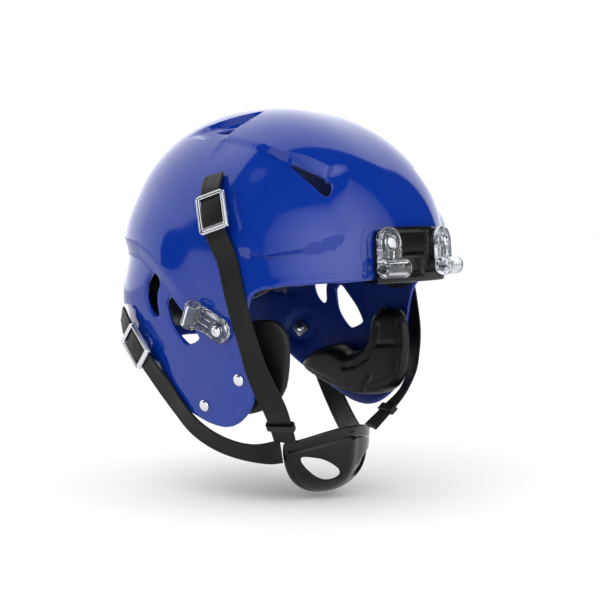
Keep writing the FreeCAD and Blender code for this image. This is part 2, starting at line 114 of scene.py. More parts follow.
def plan_power(z):
    """How square the outline is at the heights z."""
    return PLAN_POWER + CHEEK_POWER * ease((WIDEST_Z - z) / CHEEK_DEPTH)


def level(points):
    """Under 1 inside the form, over 1 outside it."""
    x, y, z = points.T
    half_width, front, rear = reaches(z)
    depth = np.where(y < MID_Y, front, rear)
    power = plan_power(z)
    value = (np.abs(x) / half_width) ** power + (np.abs(y - MID_Y) / depth) ** power
    return np.where(z >= CROWN_Z, 2.0, value)


HEAD = {"level": level, "centre": np.array([0.0, 0.0, 45.0]), "top": 1.0, "reach": (20.0, 260.0)}
form = dict(HEAD)                  # the form that the helpers below work on


def on_form(toward):
    """Points of the form in the directions of the given points, seen from its centre."""
    rays = unit(np.atleast_2d(np.asarray(toward, float)) - form["centre"])
    low, high = (np.full(len(rays), limit) for limit in form["reach"])
    for _ in range(36):
        mid = (low + high) / 2
        inside = form["level"](form["centre"] + rays * mid[:, None]) < 1.0
        low, high = np.where(inside, mid, low), np.where(inside, high, mid)
    return form["centre"] + rays * low[:, None]


def form_normals(points):
    """Outward normals of the form at points on it."""
    points = np.atleast_2d(points)
    step = 0.4
    slope = [form["level"](points + step * axis) - form["level"](points - step * axis) for axis in np.eye(3)]
    return unit(np.stack(slope, 1))


def side(y, z):
    """Point on the right side of the form at (y, z)."""
    z_array = np.array([float(z)])
    half_width, front, rear = (value[0] for value in reaches(z_array))
    depth = front if y < MID_Y else rear
    power = plan_power(z_array)[0]
    x = half_width * max(1.0 - (abs(y - MID_Y) / depth) ** power, 0.0) ** (1.0 / power)
    return (-x, y, z)


def sides(*places):
    """Points on the right side of the form at several (y, z)."""
    return [side(y, z) for y, z in places]


print("half width at the ears: %.1f mm" % -side(0, 0)[0])

# %% [markdown]
# ## Outlines on the form
# The face opening, the ear holes and the vents are cut along smooth lines. Each line is a few corner points,
# which corner cutting rounds off, and then points at an even spacing laid back onto the form.

# %% Smooth lines that lie on the form
SPACING = 2.3


def rounded(points, times, closed):
    """Cut the corners of a line a few times, so that they become curves."""
    points = [np.array(point, float) for point in points]
    for _ in range(times):
        ends = points[1:] + points[:1] if closed else points[1:]
        cut = []
        for a, b in zip(points, ends):
            cut += [a * 0.75 + b * 0.25, a * 0.25 + b * 0.75]
        points = cut if closed else [points[0]] + cut[1:-1] + [points[-1]]
    return np.array(points)


def even(points, spacing, closed):
    """The same line with evenly spaced points on the form."""
    if closed:
        points = np.vstack([points, points[:1]])
    fine = np.vstack([points[i] + (points[i + 1] - points[i]) * t for i in range(len(points) - 1)
                      for t in np.linspace(0.0, 1.0, 9)[:-1]] + [points[-1]])
    fine = on_form(fine)
    run = run_of(fine)
    count = max(int(round(run[-1] / spacing)), 6)
    marks = np.linspace(0.0, run[-1], count + 1)
    line = np.stack([np.interp(marks, run, fine[:, k]) for k in range(3)], 1)
    return on_form(line[:-1] if closed else line)


def slid(line, distance, closed):
    """The line moved sideways over the form, to the left of its run when distance is positive."""
    if closed:
        ahead, behind = np.roll(line, -1, axis=0), np.roll(line, 1, axis=0)
    else:
        ahead, behind = np.vstack([line[1:], line[-1:]]), np.vstack([line[:1], line[:-1]])
    aside = np.cross(form_normals(line), unit(ahead - behind))
    return on_form(line + aside * distance)


def flat(points):
    """Stereographic map of points on the form, seen from its centre, with the crown in the middle."""
    rays = unit(np.atleast_2d(points) - form["centre"])
    return rays[:, :2] / (1.0 + form["top"] * rays[:, 2:3])


def lifted(uv):
    """The form's points over places on the flat map."""
    squares = (uv ** 2).sum(1)
    rays = np.column_stack([2 * uv, form["top"] * (1 - squares)]) / (1 + squares)[:, None]
    return on_form(form["centre"] + rays)


def within(uv, polygon):
    """Which places lie inside a closed polygon on the flat map."""
    x, y = uv.T
    inside = np.zeros(len(uv), bool)
    for (ax, ay), (bx, by) in zip(polygon, np.roll(polygon, -1, axis=0)):
        crosses = (ay > y) != (by > y)
        with np.errstate(divide="ignore", invalid="ignore"):
            at = ax + (y - ay) * (bx - ax) / (by - ay)
        inside ^= crosses & (x < at)
    return inside


def distance_to(points, line):
    """Distance from each point to the nearest point of a finely spaced line."""
    tree = kdtree.KDTree(len(line))
    for index, point in enumerate(line):
        tree.insert(point, index)
    tree.balance()
    return np.array([tree.find(point)[2] for point in points])


# %% The shell's edge and its openings, as (y, z) seen from the right
RIM = 1.3
BROW = [(-0.0, -139.0, 45.0), (-35.0, -134.5, 44.5)]
BROW += sides((-111, 42), (-94, 40.5), (-80, 38.5), (-70, 36), (-63, 31), (-59, 24))
FLAP = sides((-56.5, 8), (-55.5, -10), (-57, -28), (-58.5, -42), (-55, -55), (-46, -66),
             (-34, -74), (-22, -76.5), (-6, -74), (12, -66.5), (22, -62))
NECK = sides((25, -60), (57, -44), (75, -30), (88, -21))
NECK += [(-60.0, 106.0, -18.0), (-30.0, 112.0, -17.0), (0.0, 114.0, -17.0)]
EDGE = slid(even(rounded(BROW + FLAP + NECK, 2, False), SPACING, False), RIM, False)
EDGE[[0, -1], 0] = 0.0
EDGE[[0, -1]] = on_form(EDGE[[0, -1]])
EDGE[[0, -1], 0] = 0.0

EAR_HOLE = sides((19, 29), (27.5, 23), (26, 12), (22, -1), (7, -15.5),
                 (-1, -14.5), (-12, -8.5), (-9, -2), (-2, 8), (9, 19))
REAR_SLOT = sides((40, 46), (30, 37), (37, 25), (33.5, 5), (47, 14), (50.5, 33))
SIDE_VENT = sides((-73, 136), (-88, 130), (-103, 122.5), (-107, 119.5),
                  (-110.5, 108), (-107.5, 107), (-97, 118.5), (-88, 125.5))
CROWN_VENT = [(-67, 18, 160), (-69, 4, 159), (-65, -10, 161), (-55, -17, 166), (-57, -2, 166)]
OPENINGS = [slid(even(rounded(points, 2, True), SPACING * 0.8, True), RIM, True)
            for points in (EAR_HOLE, REAR_SLOT, SIDE_VENT, CROWN_VENT)]
print("edge points:", len(EDGE), "opening points:", [len(line) for line in OPENINGS])

# %% [markdown]
# ## Risers and recesses of the shell
# The moulded steps stiffen the shell and frame the vents. Each one is a zone with an outer line, where the
# shell is still at its normal level, and an inner line, where it has reached the zone's own level. Between
# the two lines the wall slopes. A displacement texture would round these edges off, so the mesh gets rows of
# points on both lines and the steps are part of its shape.

# %% Zones: an outer line, an inner line and a level in millimetres
FLARE = 3.6          # the dome's lower margin stands this proud over the rear riser
FLARE_REACH = 40.0
VENT_DROP = -6.0     # the side panel under the crown band
LEDGE_RISE = 3.2     # the same panel where it ends over the temple
BAND_STEP = -1.6
SCOOP_DROP = -5.5    # floor of the crown scoop at its front

REAR_OUTER = sides((-14, 14), (-8, 20), (5, 31), (20, 44), (39, 58), (57, 67))
REAR_OUTER += [(-84.0, 92.0, 71.0), (-58.0, 113.0, 72.0), (-25.0, 121.0, 71.0), (25.0, 121.0, 71.0)]
REAR_INNER = sides((-13, 10), (-3, 7), (6, 17), (20, 31), (41, 46), (57, 54))
REAR_INNER += [(-87.0, 85.0, 58.0), (-60.0, 110.0, 58.0), (-25.0, 120.0, 57.0), (25.0, 120.0, 57.0)]
REAR_FOOT = [(25.0, 90.0, -90.0), (-60.0, 80.0, -100.0), (-90.0, 20.0, -100.0), (-100.0, -20.0, -20.0)]
PANEL_OUTER = sides((-9, 153), (-35, 149), (-61, 144), (-66, 142), (-84, 138), (-101, 129.5))
PANEL_OUTER += [(-41.0, -109.0, 130.0), (-51.0, -115.0, 115.0), (-62.0, -118.0, 99.0), (-63.0, -124.0, 76.0),
                (-72.0, -119.0, 68.0), (-84.0, -108.0, 64.0), (-95.0, -93.0, 61.5), (-103.0, -76.0, 60.0)]
PANEL_INNER = sides((-9, 151), (-35, 147), (-60, 141.5), (-67, 138.5), (-87, 131.5), (-103, 123.5))
PANEL_INNER += [(-57.0, -104.0, 125.0), (-67.0, -109.0, 110.0), (-72.0, -111.0, 99.0), (-73.0, -117.0, 77.0),
                (-80.0, -112.0, 70.5), (-90.0, -100.0, 66.0), (-98.0, -86.0, 63.0), (-104.0, -75.0, 60.5)]
PANEL_BACK = [(-113.0, -40.0, 62.0), (-112.0, -10.0, 90.0), (-98.0, -5.0, 125.0)]
SCOOP_OUTER = [(-70.0, 42.0, 152.0), (-53.0, 10.0, 168.0), (-34.0, -18.0, 176.0),
               (-52.0, -17.0, 169.0), (-79.0, -8.0, 151.0)]
SCOOP_INNER = [(-67.5, 30.0, 155.0), (-56.0, 8.0, 166.0), (-43.0, -12.0, 173.0),
               (-55.0, -14.5, 168.0), (-74.5, -7.0, 155.0)]


def zone_line(points, back=()):
    """An outline of a zone: its drawn line and the closed polygon on the flat map."""
    line = even(np.array(points, float), 1.2, False)
    polygon = flat(np.vstack([line, on_form(np.array(back, float))])) if len(back) else flat(line)
    return line, polygon


ZONES = {"rear": (zone_line(REAR_OUTER, REAR_FOOT), zone_line(REAR_INNER, REAR_FOOT)),
         "panel": (zone_line(PANEL_OUTER, PANEL_BACK), zone_line(PANEL_INNER, PANEL_BACK)),
         "scoop": (zone_line(SCOOP_OUTER + SCOOP_OUTER[:1]), zone_line(SCOOP_INNER + SCOOP_INNER[:1]))}


def depth_in(points, uv, zone):
    """0 outside a zone, 1 inside its inner line, and the share of the slope between."""
    (outer, outer_polygon), (inner, inner_polygon) = ZONES[zone]
    to_outer = distance_to(points, outer)
    to_inner = distance_to(points, inner)
    share = to_outer / np.maximum(to_outer + to_inner, 1e-6)
    share = np.where(within(uv, inner_polygon), 1.0, share)
    return np.where(within(uv, outer_polygon), share, 0.0), to_outer


REAR_STUD = np.array(side(59, -16))
BACK_CREASE = even(np.array(sides((66, 18), (52, -4), (40, -20), (30, -39), (21, -60))), 1.2, False)
CREASE_DIP = 0.14    # drop per millimetre behind the crease, over at most CREASE_REACH
CREASE_REACH = 22.0
RING_R, RING_RISE = 15.5, 0.9        # raised ring round the lower snap
BEAD_IN, BEAD_RISE = 2.6, 0.55       # the rim bead ends this far in from the edge


def relief(points, uv):
    """Height of the shell over the plain form, in millimetres, at points of the right half."""
    _, y, z = points.T
    rear, to_rear = depth_in(points, uv, "rear")
    flare = FLARE * (1.0 - ease(to_rear / FLARE_REACH)) * ease((y + 12.0) / 40.0)
    height = flare * (1.0 - rear)

    panel, to_panel = depth_in(points, uv, "panel")
    front_share = ease((-y - 42.0) / 26.0)
    drop = VENT_DROP * ease((z - 92.0) / 34.0) + LEDGE_RISE * (1.0 - ease((z - 74.0) / 34.0))
    band = BAND_STEP * (1.0 - ease(to_panel / 32.0)) * ease((-y + 2.0) / 20.0)
    height = height + panel * (front_share * drop + (1.0 - front_share) * band)

    scoop, _ = depth_in(points, uv, "scoop")
    height = height + scoop * SCOOP_DROP * ease((44.0 - y) / 44.0)

    beyond = ((y - 40.0) * 0.86 + (z + 20.0) * -0.5 > 0) * (z < 14) * (y > 15)
    behind = distance_to(points, BACK_CREASE) * beyond
    from_stud = np.linalg.norm(points - REAR_STUD, axis=1)
    height = height - CREASE_DIP * np.minimum(behind, CREASE_REACH) * ease((from_stud - 13.0) / 3.0)
    height = height + RING_RISE * np.exp(-((from_stud - RING_R) / 1.1) ** 2)
    edge_gap = distance_to(points, EDGE)
    front_edge = (y < -8.0) | (z < -62.0)
    return height + BEAD_RISE * (1.0 - ease((edge_gap - BEAD_IN) / 0.9)) * front_edge * ease((40.0 - y) / 60.0)


print("zones:", list(ZONES))

# %% [markdown]
# ## The shell
# A shell with openings is awkward to model by hand with even faces. Here the right half of the form is drawn
# flat with a map that keeps angles, filled with evenly spaced points, and triangulated so that every edge
# and riser line is kept. The half is then laid back on the form, mirrored, given its wall, and closed with a
# rounded rim.

# %% Points of the right half
def median_line(edge, spacing):
    """Points in the plane between the halves, from the edge's last point over the top to its first."""
    start, end = edge[-1] - form["centre"], edge[0] - form["centre"]
    begin, stop = math.atan2(start[2], start[1]), math.atan2(end[2], end[1])
    turn = (stop - begin) % (2 * math.pi) if form["top"] > 0 else -((begin - stop) % (2 * math.pi))
    angle = begin + turn * np.linspace(0.0, 1.0, 220)
    line = on_form(form["centre"] + np.column_stack([0 * angle, np.cos(angle), np.sin(angle)]))
    line = even(line, spacing, False)[1:-1]
    line[:, 0] = 0.0
    return line


def ring_points(spacing, radius, lowest):
    """Evenly spread points over the right half of the form, ring by ring from its top."""
    found = []
    step = spacing / radius
    for ring in range(1, int(lowest / step)):
        tilt = ring * step
        count = max(int(math.pi * math.sin(tilt) / step), 3)
        turn = math.pi * (np.arange(count) + 0.25 + 0.25 * (ring % 2)) / count + math.pi / 2
        found.append(np.column_stack([np.sin(tilt) * np.cos(turn), np.sin(tilt) * np.sin(turn),
                                      np.full(count, form["top"] * math.cos(tilt))]))
    return on_form(form["centre"] + np.vstack(found))


def half_mesh(edge, openings, rows, spacing, radius, lowest=2.62):
    """Triangles of the right half, as flat places and faces; rows are lines that points must follow."""
    boundary = np.vstack([edge, median_line(edge, spacing)])
    edges, count = [], 0
    for loop in [boundary] + openings:
        edges += [(count + k, count + (k + 1) % len(loop)) for k in range(len(loop))]
        count += len(loop)
    hard = np.vstack([boundary] + openings)
    soft = np.vstack(rows + [slid(edge, distance, False) for distance in (1.1, 2.2, 3.3, 4.4)]
                     + [slid(opening, -1.6, True) for opening in openings])
    soft = soft[soft[:, 0] < -1.0]
    soft = soft[distance_to(soft, hard) > 1.0]
    loose = ring_points(spacing, radius, lowest)
    loose = loose[loose[:, 0] < -0.5 * spacing]
    loose = loose[distance_to(loose, np.vstack([hard, soft])) > spacing * 0.72]
    points = np.vstack([soft, loose])

    def kept(uv):
        keep = within(uv, flat(boundary))
        for opening in openings:
            keep &= ~within(uv, flat(opening))
        return keep

    uv = flat(points)
    places = np.vstack([flat(hard), uv[kept(uv)]])
    result = geometry.delaunay_2d_cdt([Vector(place) for place in places], edges, [], 0, 1e-7)
    out = np.array([tuple(place) for place in result[0]])
    faces = np.array([tuple(face) for face in result[2]])
    return out, faces[kept(out[faces].mean(axis=1))]


risers = [line[::2] for zone in ZONES.values() for line, _ in zone]
places, half_faces = half_mesh(EDGE, OPENINGS, risers, SPACING, 122.0)
print("half shell:", len(places), "points and", len(half_faces), "triangles")

# %% The whole outer face, its wall and its rim
def walled(places, half_faces, height, wall, bulge):
    """Both halves with a wall and a rounded rim: points, faces, first inside face and first rim face."""
    points = lifted(places)
    on_seam = np.abs(points[:, 0]) < 0.05
    points[on_seam, 0] = 0.0
    normals = form_normals(points)
    normals[on_seam, 0] = 0.0
    raised = points + normals * height(points, places)[:, None]
    raised[on_seam, 0] = 0.0
    twin = np.arange(len(points))
    twin[~on_seam] = len(points) + np.arange((~on_seam).sum())
    whole = np.vstack([raised, raised[~on_seam] * (-1, 1, 1)])
    faces = np.vstack([half_faces, twin[half_faces][:, ::-1]])

    corner = whole[faces]
    face_normal = np.cross(corner[:, 1] - corner[:, 0], corner[:, 2] - corner[:, 0])
    if (face_normal * (corner.mean(axis=1) - form["centre"])).sum() < 0:
        faces = faces[:, ::-1]
        face_normal = -face_normal
    normal = np.zeros_like(whole)
    for k in range(3):
        np.add.at(normal, faces[:, k], face_normal)
    normal /= np.maximum(np.linalg.norm(normal, axis=1), 1e-9)[:, None]

    count = len(whole)
    inner = whole - normal * wall
    points = [whole, inner]
    all_faces = [tuple(face) for face in faces]
    first_inside = len(all_faces)
    all_faces += [tuple(count + face[::-1]) for face in faces]

    directed = {}
    for a, b, c in faces:
        for edge in ((a, b), (b, c), (c, a)):
            directed[edge] = directed.get(edge, 0) + 1
    border = {a: b for a, b in directed if (b, a) not in directed}
    before = {b: a for a, b in border.items()}
    rim = np.array(sorted(border))
    run = whole[[border[k] for k in rim]] - whole[[before[k] for k in rim]]
    away = np.cross(unit(run), normal[rim])
    order = {k: i for i, k in enumerate(rim)}
    rows = [rim]
    half = wall / 2
    next_index = 2 * count
    for turn in (30, 62, 90, 118, 150):
        a = math.radians(turn)
        ring = whole[rim] - normal[rim] * half * (1 - math.cos(a)) + away * bulge * math.sin(a)
        points.append(ring)
        rows.append(np.arange(next_index, next_index + len(rim)))
        next_index += len(rim)
    rows.append(rim + count)
    rim_start = len(all_faces)
    for upper, lower in zip(rows, rows[1:]):
        for i, k in enumerate(rim):
            j = order[border[k]]
            all_faces.append((int(upper[j]), int(upper[i]), int(lower[i]), int(lower[j])))
    return np.vstack(points), all_faces, first_inside, rim_start


shell_points, shell_faces, first_inside, rim_start = walled(places, half_faces, relief, WALL, RIM)
print("whole shell:", len(shell_points), "points and", len(shell_faces), "faces")

# %% [markdown]
# ## Materials: one small helper and a colour function
# Each finish is built from shader nodes, so it has no image file and no seam. A helper adds a node with its
# settings and its links in one line. Colours are picked as screen hex values, which have to be turned to the
# linear values that the renderer works in.

# %% Colour and node helpers
def colour(hex_code):
    """Linear RGBA of a screen colour such as 0A2F98."""
    parts = [int(hex_code[k:k + 2], 16) / 255 for k in (0, 2, 4)]
    return tuple(p / 12.92 if p <= 0.04045 else ((p + 0.055) / 1.055) ** 2.4 for p in parts) + (1.0,)


def node(tree, kind, settings=None, **inputs):
    """Add a node, set its properties, and set or link its inputs (underscores stand for spaces)."""
    made = tree.nodes.new("ShaderNode" + kind)
    for key, value in (settings or {}).items():
        setattr(made, key, value)
    for key, value in inputs.items():
        socket = made.inputs[int(key[1:])] if key[1:].isdigit() else made.inputs[key.replace("_", " ")]
        if isinstance(value, bpy.types.NodeSocket):
            tree.links.new(value, socket)
        else:
            socket.default_value = value
    return made


def finish(name, base, rough, **shader):
    """A new material with one Principled shader; returns the material, its node tree and the shader."""
    material = bpy.data.materials.new(name)
    material.use_nodes = True
    tree = material.node_tree
    surface = tree.nodes["Principled BSDF"]
    surface.inputs["Base Color"].default_value = colour(base)
    surface.inputs["Roughness"].default_value = rough
    for key, value in shader.items():
        surface.inputs[key.replace("_", " ")].default_value = value
    return material, tree, surface


def grain(tree, surface, spacing_mm, depth_mm, strength=1.0, detail=3.0):
    """Fine unevenness of a moulded skin: noise whose bumps are about spacing_mm apart."""
    place = node(tree, "TexCoord").outputs["Object"]
    noise = node(tree, "TexNoise", Vector=place, Scale=1000.0 / spacing_mm, Detail=detail, Roughness=0.55)
    bump = node(tree, "Bump", Height=noise.outputs["Fac"], Distance=depth_mm * MM, Strength=strength)
    tree.links.new(bump.outputs["Normal"], surface.inputs["Normal"])
    return place, noise


def varied(tree, surface, place, base, other, rough, spread, spacing_mm):
    """Slow change of tone and roughness over a surface, as handling and moulding leave it."""
    slow = node(tree, "TexNoise", Vector=place, Scale=1000.0 / spacing_mm, Detail=4.0, Roughness=0.6)
    tone = node(tree, "Mix", {"data_type": "RGBA"}, Factor=slow.outputs["Fac"],
                _6=colour(base), _7=colour(other))
    tree.links.new(tone.outputs[2], surface.inputs["Base Color"])
    shine = node(tree, "MapRange", Value=slow.outputs["Fac"], From_Min=0.3, From_Max=0.7,
                 To_Min=rough - spread, To_Max=rough + spread)
    tree.links.new(shine.outputs["Result"], surface.inputs["Roughness"])
    return tone


print("colour check, mid grey:", [round(c, 3) for c in colour("808080")])

# %% Shell finishes
def painted_shell():
    """Polycarbonate, injection moulded, dyed royal blue and clear coated: deep colour under a sharp gloss."""
    material, tree, surface = finish("polycarbonate_clear_coated", "062D8B", 0.09, IOR=1.5)
    place, _ = grain(tree, surface, 9.0, 0.05, 0.35)       # the faint orange peel of a sprayed coat
    varied(tree, surface, place, "042A86", "083092", 0.09, 0.03, 60.0)
    return material


def bare_inside():
    """The same polycarbonate without its coat: darker, dull and slightly rippled from the mould core."""
    material, tree, surface = finish("polycarbonate_moulded_inside", "072064", 0.38, IOR=1.5,
                                     Specular_IOR_Level=0.3)
    place, _ = grain(tree, surface, 5.0, 0.06, 0.6)
    varied(tree, surface, place, "062064", "0A2A7C", 0.38, 0.08, 45.0)
    return material


SHELL_BLUE, SHELL_INSIDE = painted_shell(), bare_inside()

# %% Black, clear and metal finishes
def moulded_black(name, base, other, rough, spacing_mm, depth_mm, **shader):
    """Black moulded part: near black, with a fine skin that breaks up its shine."""
    material, tree, surface = finish(name, base, rough, **shader)
    place, _ = grain(tree, surface, spacing_mm, depth_mm)
    varied(tree, surface, place, base, other, rough, 0.06, 25.0)
    return material


BUMPER_BLACK = moulded_black("polyurethane_bumper_satin", "050506", "0A0A0B", 0.26, 1.4, 0.02, IOR=1.5,
                             Specular_IOR_Level=0.28)
CUP_BLACK = moulded_black("polyurethane_cup_gloss", "050506", "0A0A0B", 0.16, 2.2, 0.02, IOR=1.5,
                          Specular_IOR_Level=0.30)
PAD_SKIN = moulded_black("vinyl_pad_skin", "080809", "0E0E0F", 0.42, 1.2, 0.05, IOR=1.5, Specular_IOR_Level=0.3)
RUBBER_BLACK = moulded_black("nylon_keeper", "090909", "101010", 0.45, 1.5, 0.03, IOR=1.5,
                             Specular_IOR_Level=0.3)


def clear_polycarbonate():
    """Clear polycarbonate clip: glass-like, with soft flow marks from moulding."""
    material, tree, surface = finish("polycarbonate_clear_moulded", "C6CACE", 0.05, IOR=1.585,
                                     Transmission_Weight=1.0)
    grain(tree, surface, 4.0, 0.05, 0.5, 2.0)
    return material


def clear_sheet():
    """Thin smoked vinyl sheet: mostly see-through, milky where it catches the light."""
    material, tree, surface = finish("vinyl_sheet_clear", "AEB2B8", 0.22, IOR=1.5,
                                     Transmission_Weight=0.85, Alpha=0.55)
    grain(tree, surface, 3.0, 0.05, 0.6)
    return material


def chrome():
    """Nickel-chrome plate: bright, with hairline rub marks."""
    material, tree, surface = finish("chrome_plated_zinc", "DADCE0", 0.12, Metallic=1.0)
    place, _ = grain(tree, surface, 0.9, 0.01, 0.6)
    slow = node(tree, "TexNoise", Vector=place, Scale=160.0, Detail=5.0)
    shine = node(tree, "MapRange", Value=slow.outputs["Fac"], From_Min=0.3, From_Max=0.75,
                 To_Min=0.08, To_Max=0.24)
    tree.links.new(shine.outputs["Result"], surface.inputs["Roughness"])
    return material


def zinc_steel():
    """Zinc plated steel plate: grey, brushed by tumbling."""
    material, tree, surface = finish("steel_zinc_plated", "8E9196", 0.34, Metallic=1.0)
    place, _ = grain(tree, surface, 0.8, 0.015, 0.8)
    varied(tree, surface, place, "85888D", "9A9DA2", 0.34, 0.08, 6.0)
    return material


def webbing_weave():
    """Nylon webbing, tightly woven and heat set: satin black, ribbed across every 1.1 mm with a herringbone."""
    material, tree, surface = finish("nylon_webbing_woven", "0C0C0C", 0.5, IOR=1.5, Sheen_Weight=0.04,
                                     Sheen_Roughness=0.4, Specular_IOR_Level=0.22)
    run = node(tree, "UVMap", {"uv_map": "run"}).outputs["UV"]         # millimetres along and across the strap
    parts = node(tree, "SeparateXYZ", Vector=run)
    slant = node(tree, "Math", {"operation": "PINGPONG"}, _0=parts.outputs["Y"], _1=2.4)
    along = node(tree, "Math", {"operation": "ADD"}, _0=parts.outputs["X"], _1=slant.outputs[0])
    ribs = node(tree, "Math", {"operation": "PINGPONG"}, _0=along.outputs[0], _1=0.55)
    cords = node(tree, "Math", {"operation": "PINGPONG"}, _0=parts.outputs["Y"], _1=0.6)
    both = node(tree, "Math", {"operation": "ADD"}, _0=ribs.outputs[0], _1=cords.outputs[0])
    bump = node(tree, "Bump", Height=both.outputs[0], Distance=0.12 * MM, Strength=0.5)
    tree.links.new(bump.outputs["Normal"], surface.inputs["Normal"])
    place = node(tree, "TexCoord").outputs["Object"]
    varied(tree, surface, place, "0A0A0A", "121212", 0.48, 0.08, 14.0)
    return material


CLEAR, SHEET, CHROME = clear_polycarbonate(), clear_sheet(), chrome()
ZINC, WEBBING = zinc_steel(), webbing_weave()
print("materials:", len(bpy.data.materials))

# %% One way to make every piece
def made(name, points, faces, materials, body="helmet", kinds=None):
    """A smooth-shaded mesh from points in millimetres, riding on a body; kinds gives each face's material."""
    mesh = bpy.data.meshes.new(name)
    mesh.from_pydata([tuple(p) for p in np.asarray(points) * MM], [], [tuple(map(int, f)) for f in faces])
    for material in materials:
        mesh.materials.append(material)
    mesh.polygons.foreach_set("use_smooth", [True] * len(mesh.polygons))
    if kinds is not None:
        mesh.polygons.foreach_set("material_index", list(kinds))
    mesh.validate()
    piece = bpy.data.objects.new(name, mesh)
    bpy.context.scene.collection.objects.link(piece)
    if body:
        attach(piece, body)
    return piece


def sharpened(piece, degrees):
    """Keep edges over an angle crisp while the rest shades smoothly."""
    limit = math.radians(degrees)
    sheet = bmesh.new()
    sheet.from_mesh(piece.data)
    for edge in sheet.edges:
        if len(edge.link_faces) == 2 and edge.calc_face_angle(0.0) > limit:
            edge.smooth = False
    sheet.to_mesh(piece.data)
    sheet.free()


def outward(piece):
    """Turn every face outwards."""
    sheet = bmesh.new()
    sheet.from_mesh(piece.data)
    bmesh.ops.recalc_face_normals(sheet, faces=sheet.faces)
    sheet.to_mesh(piece.data)
    sheet.free()


def stands_for(node_name):
    """The piece takes the place of a CAD node, which is hidden."""
    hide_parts(node_name)


# %% The shell object
kinds = np.zeros(len(shell_faces), int)
kinds[first_inside:rim_start] = 1
shell = made("helmet_shell", shell_points, shell_faces, [SHELL_BLUE, SHELL_INSIDE], kinds=kinds)
stands_for("shell")
sharpened(shell, 38)
print("shell faces:", len(shell.data.polygons))

# %% [markdown]
# ## Sweeping and turning
# Straps, wire frames and piping are all one profile carried along a line, and snaps, rivets and screws are
# all turned on a lathe. Two helpers make both kinds, so every such piece has true rounded edges of its own
# instead of a bevel added to a block.

# %% Lines through points, sweeps, turned parts and seats
def through(stations, spacing):
    """Smooth line through (point, outward) stations, at an even spacing."""
    points = np.array([point for point, _ in stations], float)
    outs = np.array([out for _, out in stations], float)
    values = np.hstack([points, unit(outs)])
    t = np.concatenate([[0.0], np.cumsum(np.linalg.norm(np.diff(points, axis=0), axis=1) ** 0.8)])
    slope = np.gradient(values, t, axis=0)
    fine = []
    for k in range(len(t) - 1):
        h = t[k + 1] - t[k]
        u = np.linspace(0.0, 1.0, 24)[:-1, None]
        fine.append((2 * u ** 3 - 3 * u ** 2 + 1) * values[k] + (u ** 3 - 2 * u ** 2 + u) * h * slope[k]
                    + (3 * u ** 2 - 2 * u ** 3) * values[k + 1] + (u ** 3 - u ** 2) * h * slope[k + 1])
    fine = np.vstack(fine + [values[-1:]])
    run = run_of(fine[:, :3])
    marks = np.linspace(0.0, run[-1], int(run[-1] / spacing) + 2)
    line = np.stack([np.interp(marks, run, fine[:, k]) for k in range(6)], 1)
    return line[:, :3], line[:, 3:], marks


def swept(points, outs, profile, closed=False):
    """Carry a closed profile of (across, out) millimetres along a line, with flat ends if it is open."""
    points, profile = np.asarray(points, float), np.asarray(profile, float)
    ahead = unit(np.roll(points, -1, 0) - np.roll(points, 1, 0) if closed else np.gradient(points, axis=0))
    outs = unit(outs - (outs * ahead).sum(1)[:, None] * ahead)
    across = np.cross(outs, ahead)
    if profile.ndim == 2:
        profile = np.repeat(profile[None], len(points), 0)
    grid = points[:, None] + across[:, None] * profile[:, :, :1] + outs[:, None] * profile[:, :, 1:]
    rows, cols = grid.shape[:2]
    index = np.arange(rows * cols).reshape(rows, cols)
    faces = []
    for row in range(rows if closed else rows - 1):
        a, b = index[row], index[(row + 1) % rows]
        faces += [(a[c], a[(c + 1) % cols], b[(c + 1) % cols], b[c]) for c in range(cols)]
    if not closed:
        faces += [tuple(index[0][::-1]), tuple(index[-1])]
    return grid.reshape(-1, 3), faces


def upright(count):
    """The same straight-up direction for each point of a line."""
    return np.tile((0.0, 0.0, 1.0), (count, 1))


def round_bar(width, height, radius, lift=0.0, corners=4):
    """Profile of a bar: a rectangle with round corners, whose underside is at lift."""
    half, out = width / 2 - radius, []
    for x, y, start in ((half, lift + radius, -90), (half, lift + height - radius, 0),
                        (-half, lift + height - radius, 90), (-half, lift + radius, 180)):
        for k in range(corners + 1):
            a = math.radians(start + 90 * k / corners)
            out.append((x + radius * math.cos(a), y + radius * math.sin(a)))
    return out


def turned(profile, sides=40):
    """Lathe a line of (radius, height) points round the z axis."""
    turn = np.linspace(0.0, 2 * math.pi, sides, endpoint=False)
    rings = [np.column_stack([r * np.cos(turn), r * np.sin(turn), np.full(sides, z)]) for r, z in profile]
    faces = []
    for k in range(len(rings) - 1):
        a, b = k * sides, (k + 1) * sides
        faces += [(a + i, a + (i + 1) % sides, b + (i + 1) % sides, b + i) for i in range(sides)]
    faces += [tuple(range(sides))[::-1], tuple(range(len(rings) * sides - sides, len(rings) * sides))]
    return np.vstack(rings), faces


def seat(origin, normal, up):
    """A place on the helmet: turns local (x, y, height) millimetres into helmet millimetres."""
    w = np.array(normal, float) / np.linalg.norm(normal)
    v = np.array(up, float) - w * np.dot(up, w)
    v /= np.linalg.norm(v)
    axes = np.array([np.cross(v, w), v, w])
    return lambda local: np.asarray(origin) + np.asarray(local, float) @ axes


def joined(parts):
    """Several (points, faces) as one."""
    points, faces, count = [], [], 0
    for some_points, some_faces in parts:
        points.append(np.asarray(some_points, float))
        faces += [tuple(count + int(k) for k in face) for face in some_faces]
        count += len(some_points)
    return np.vstack(points), faces


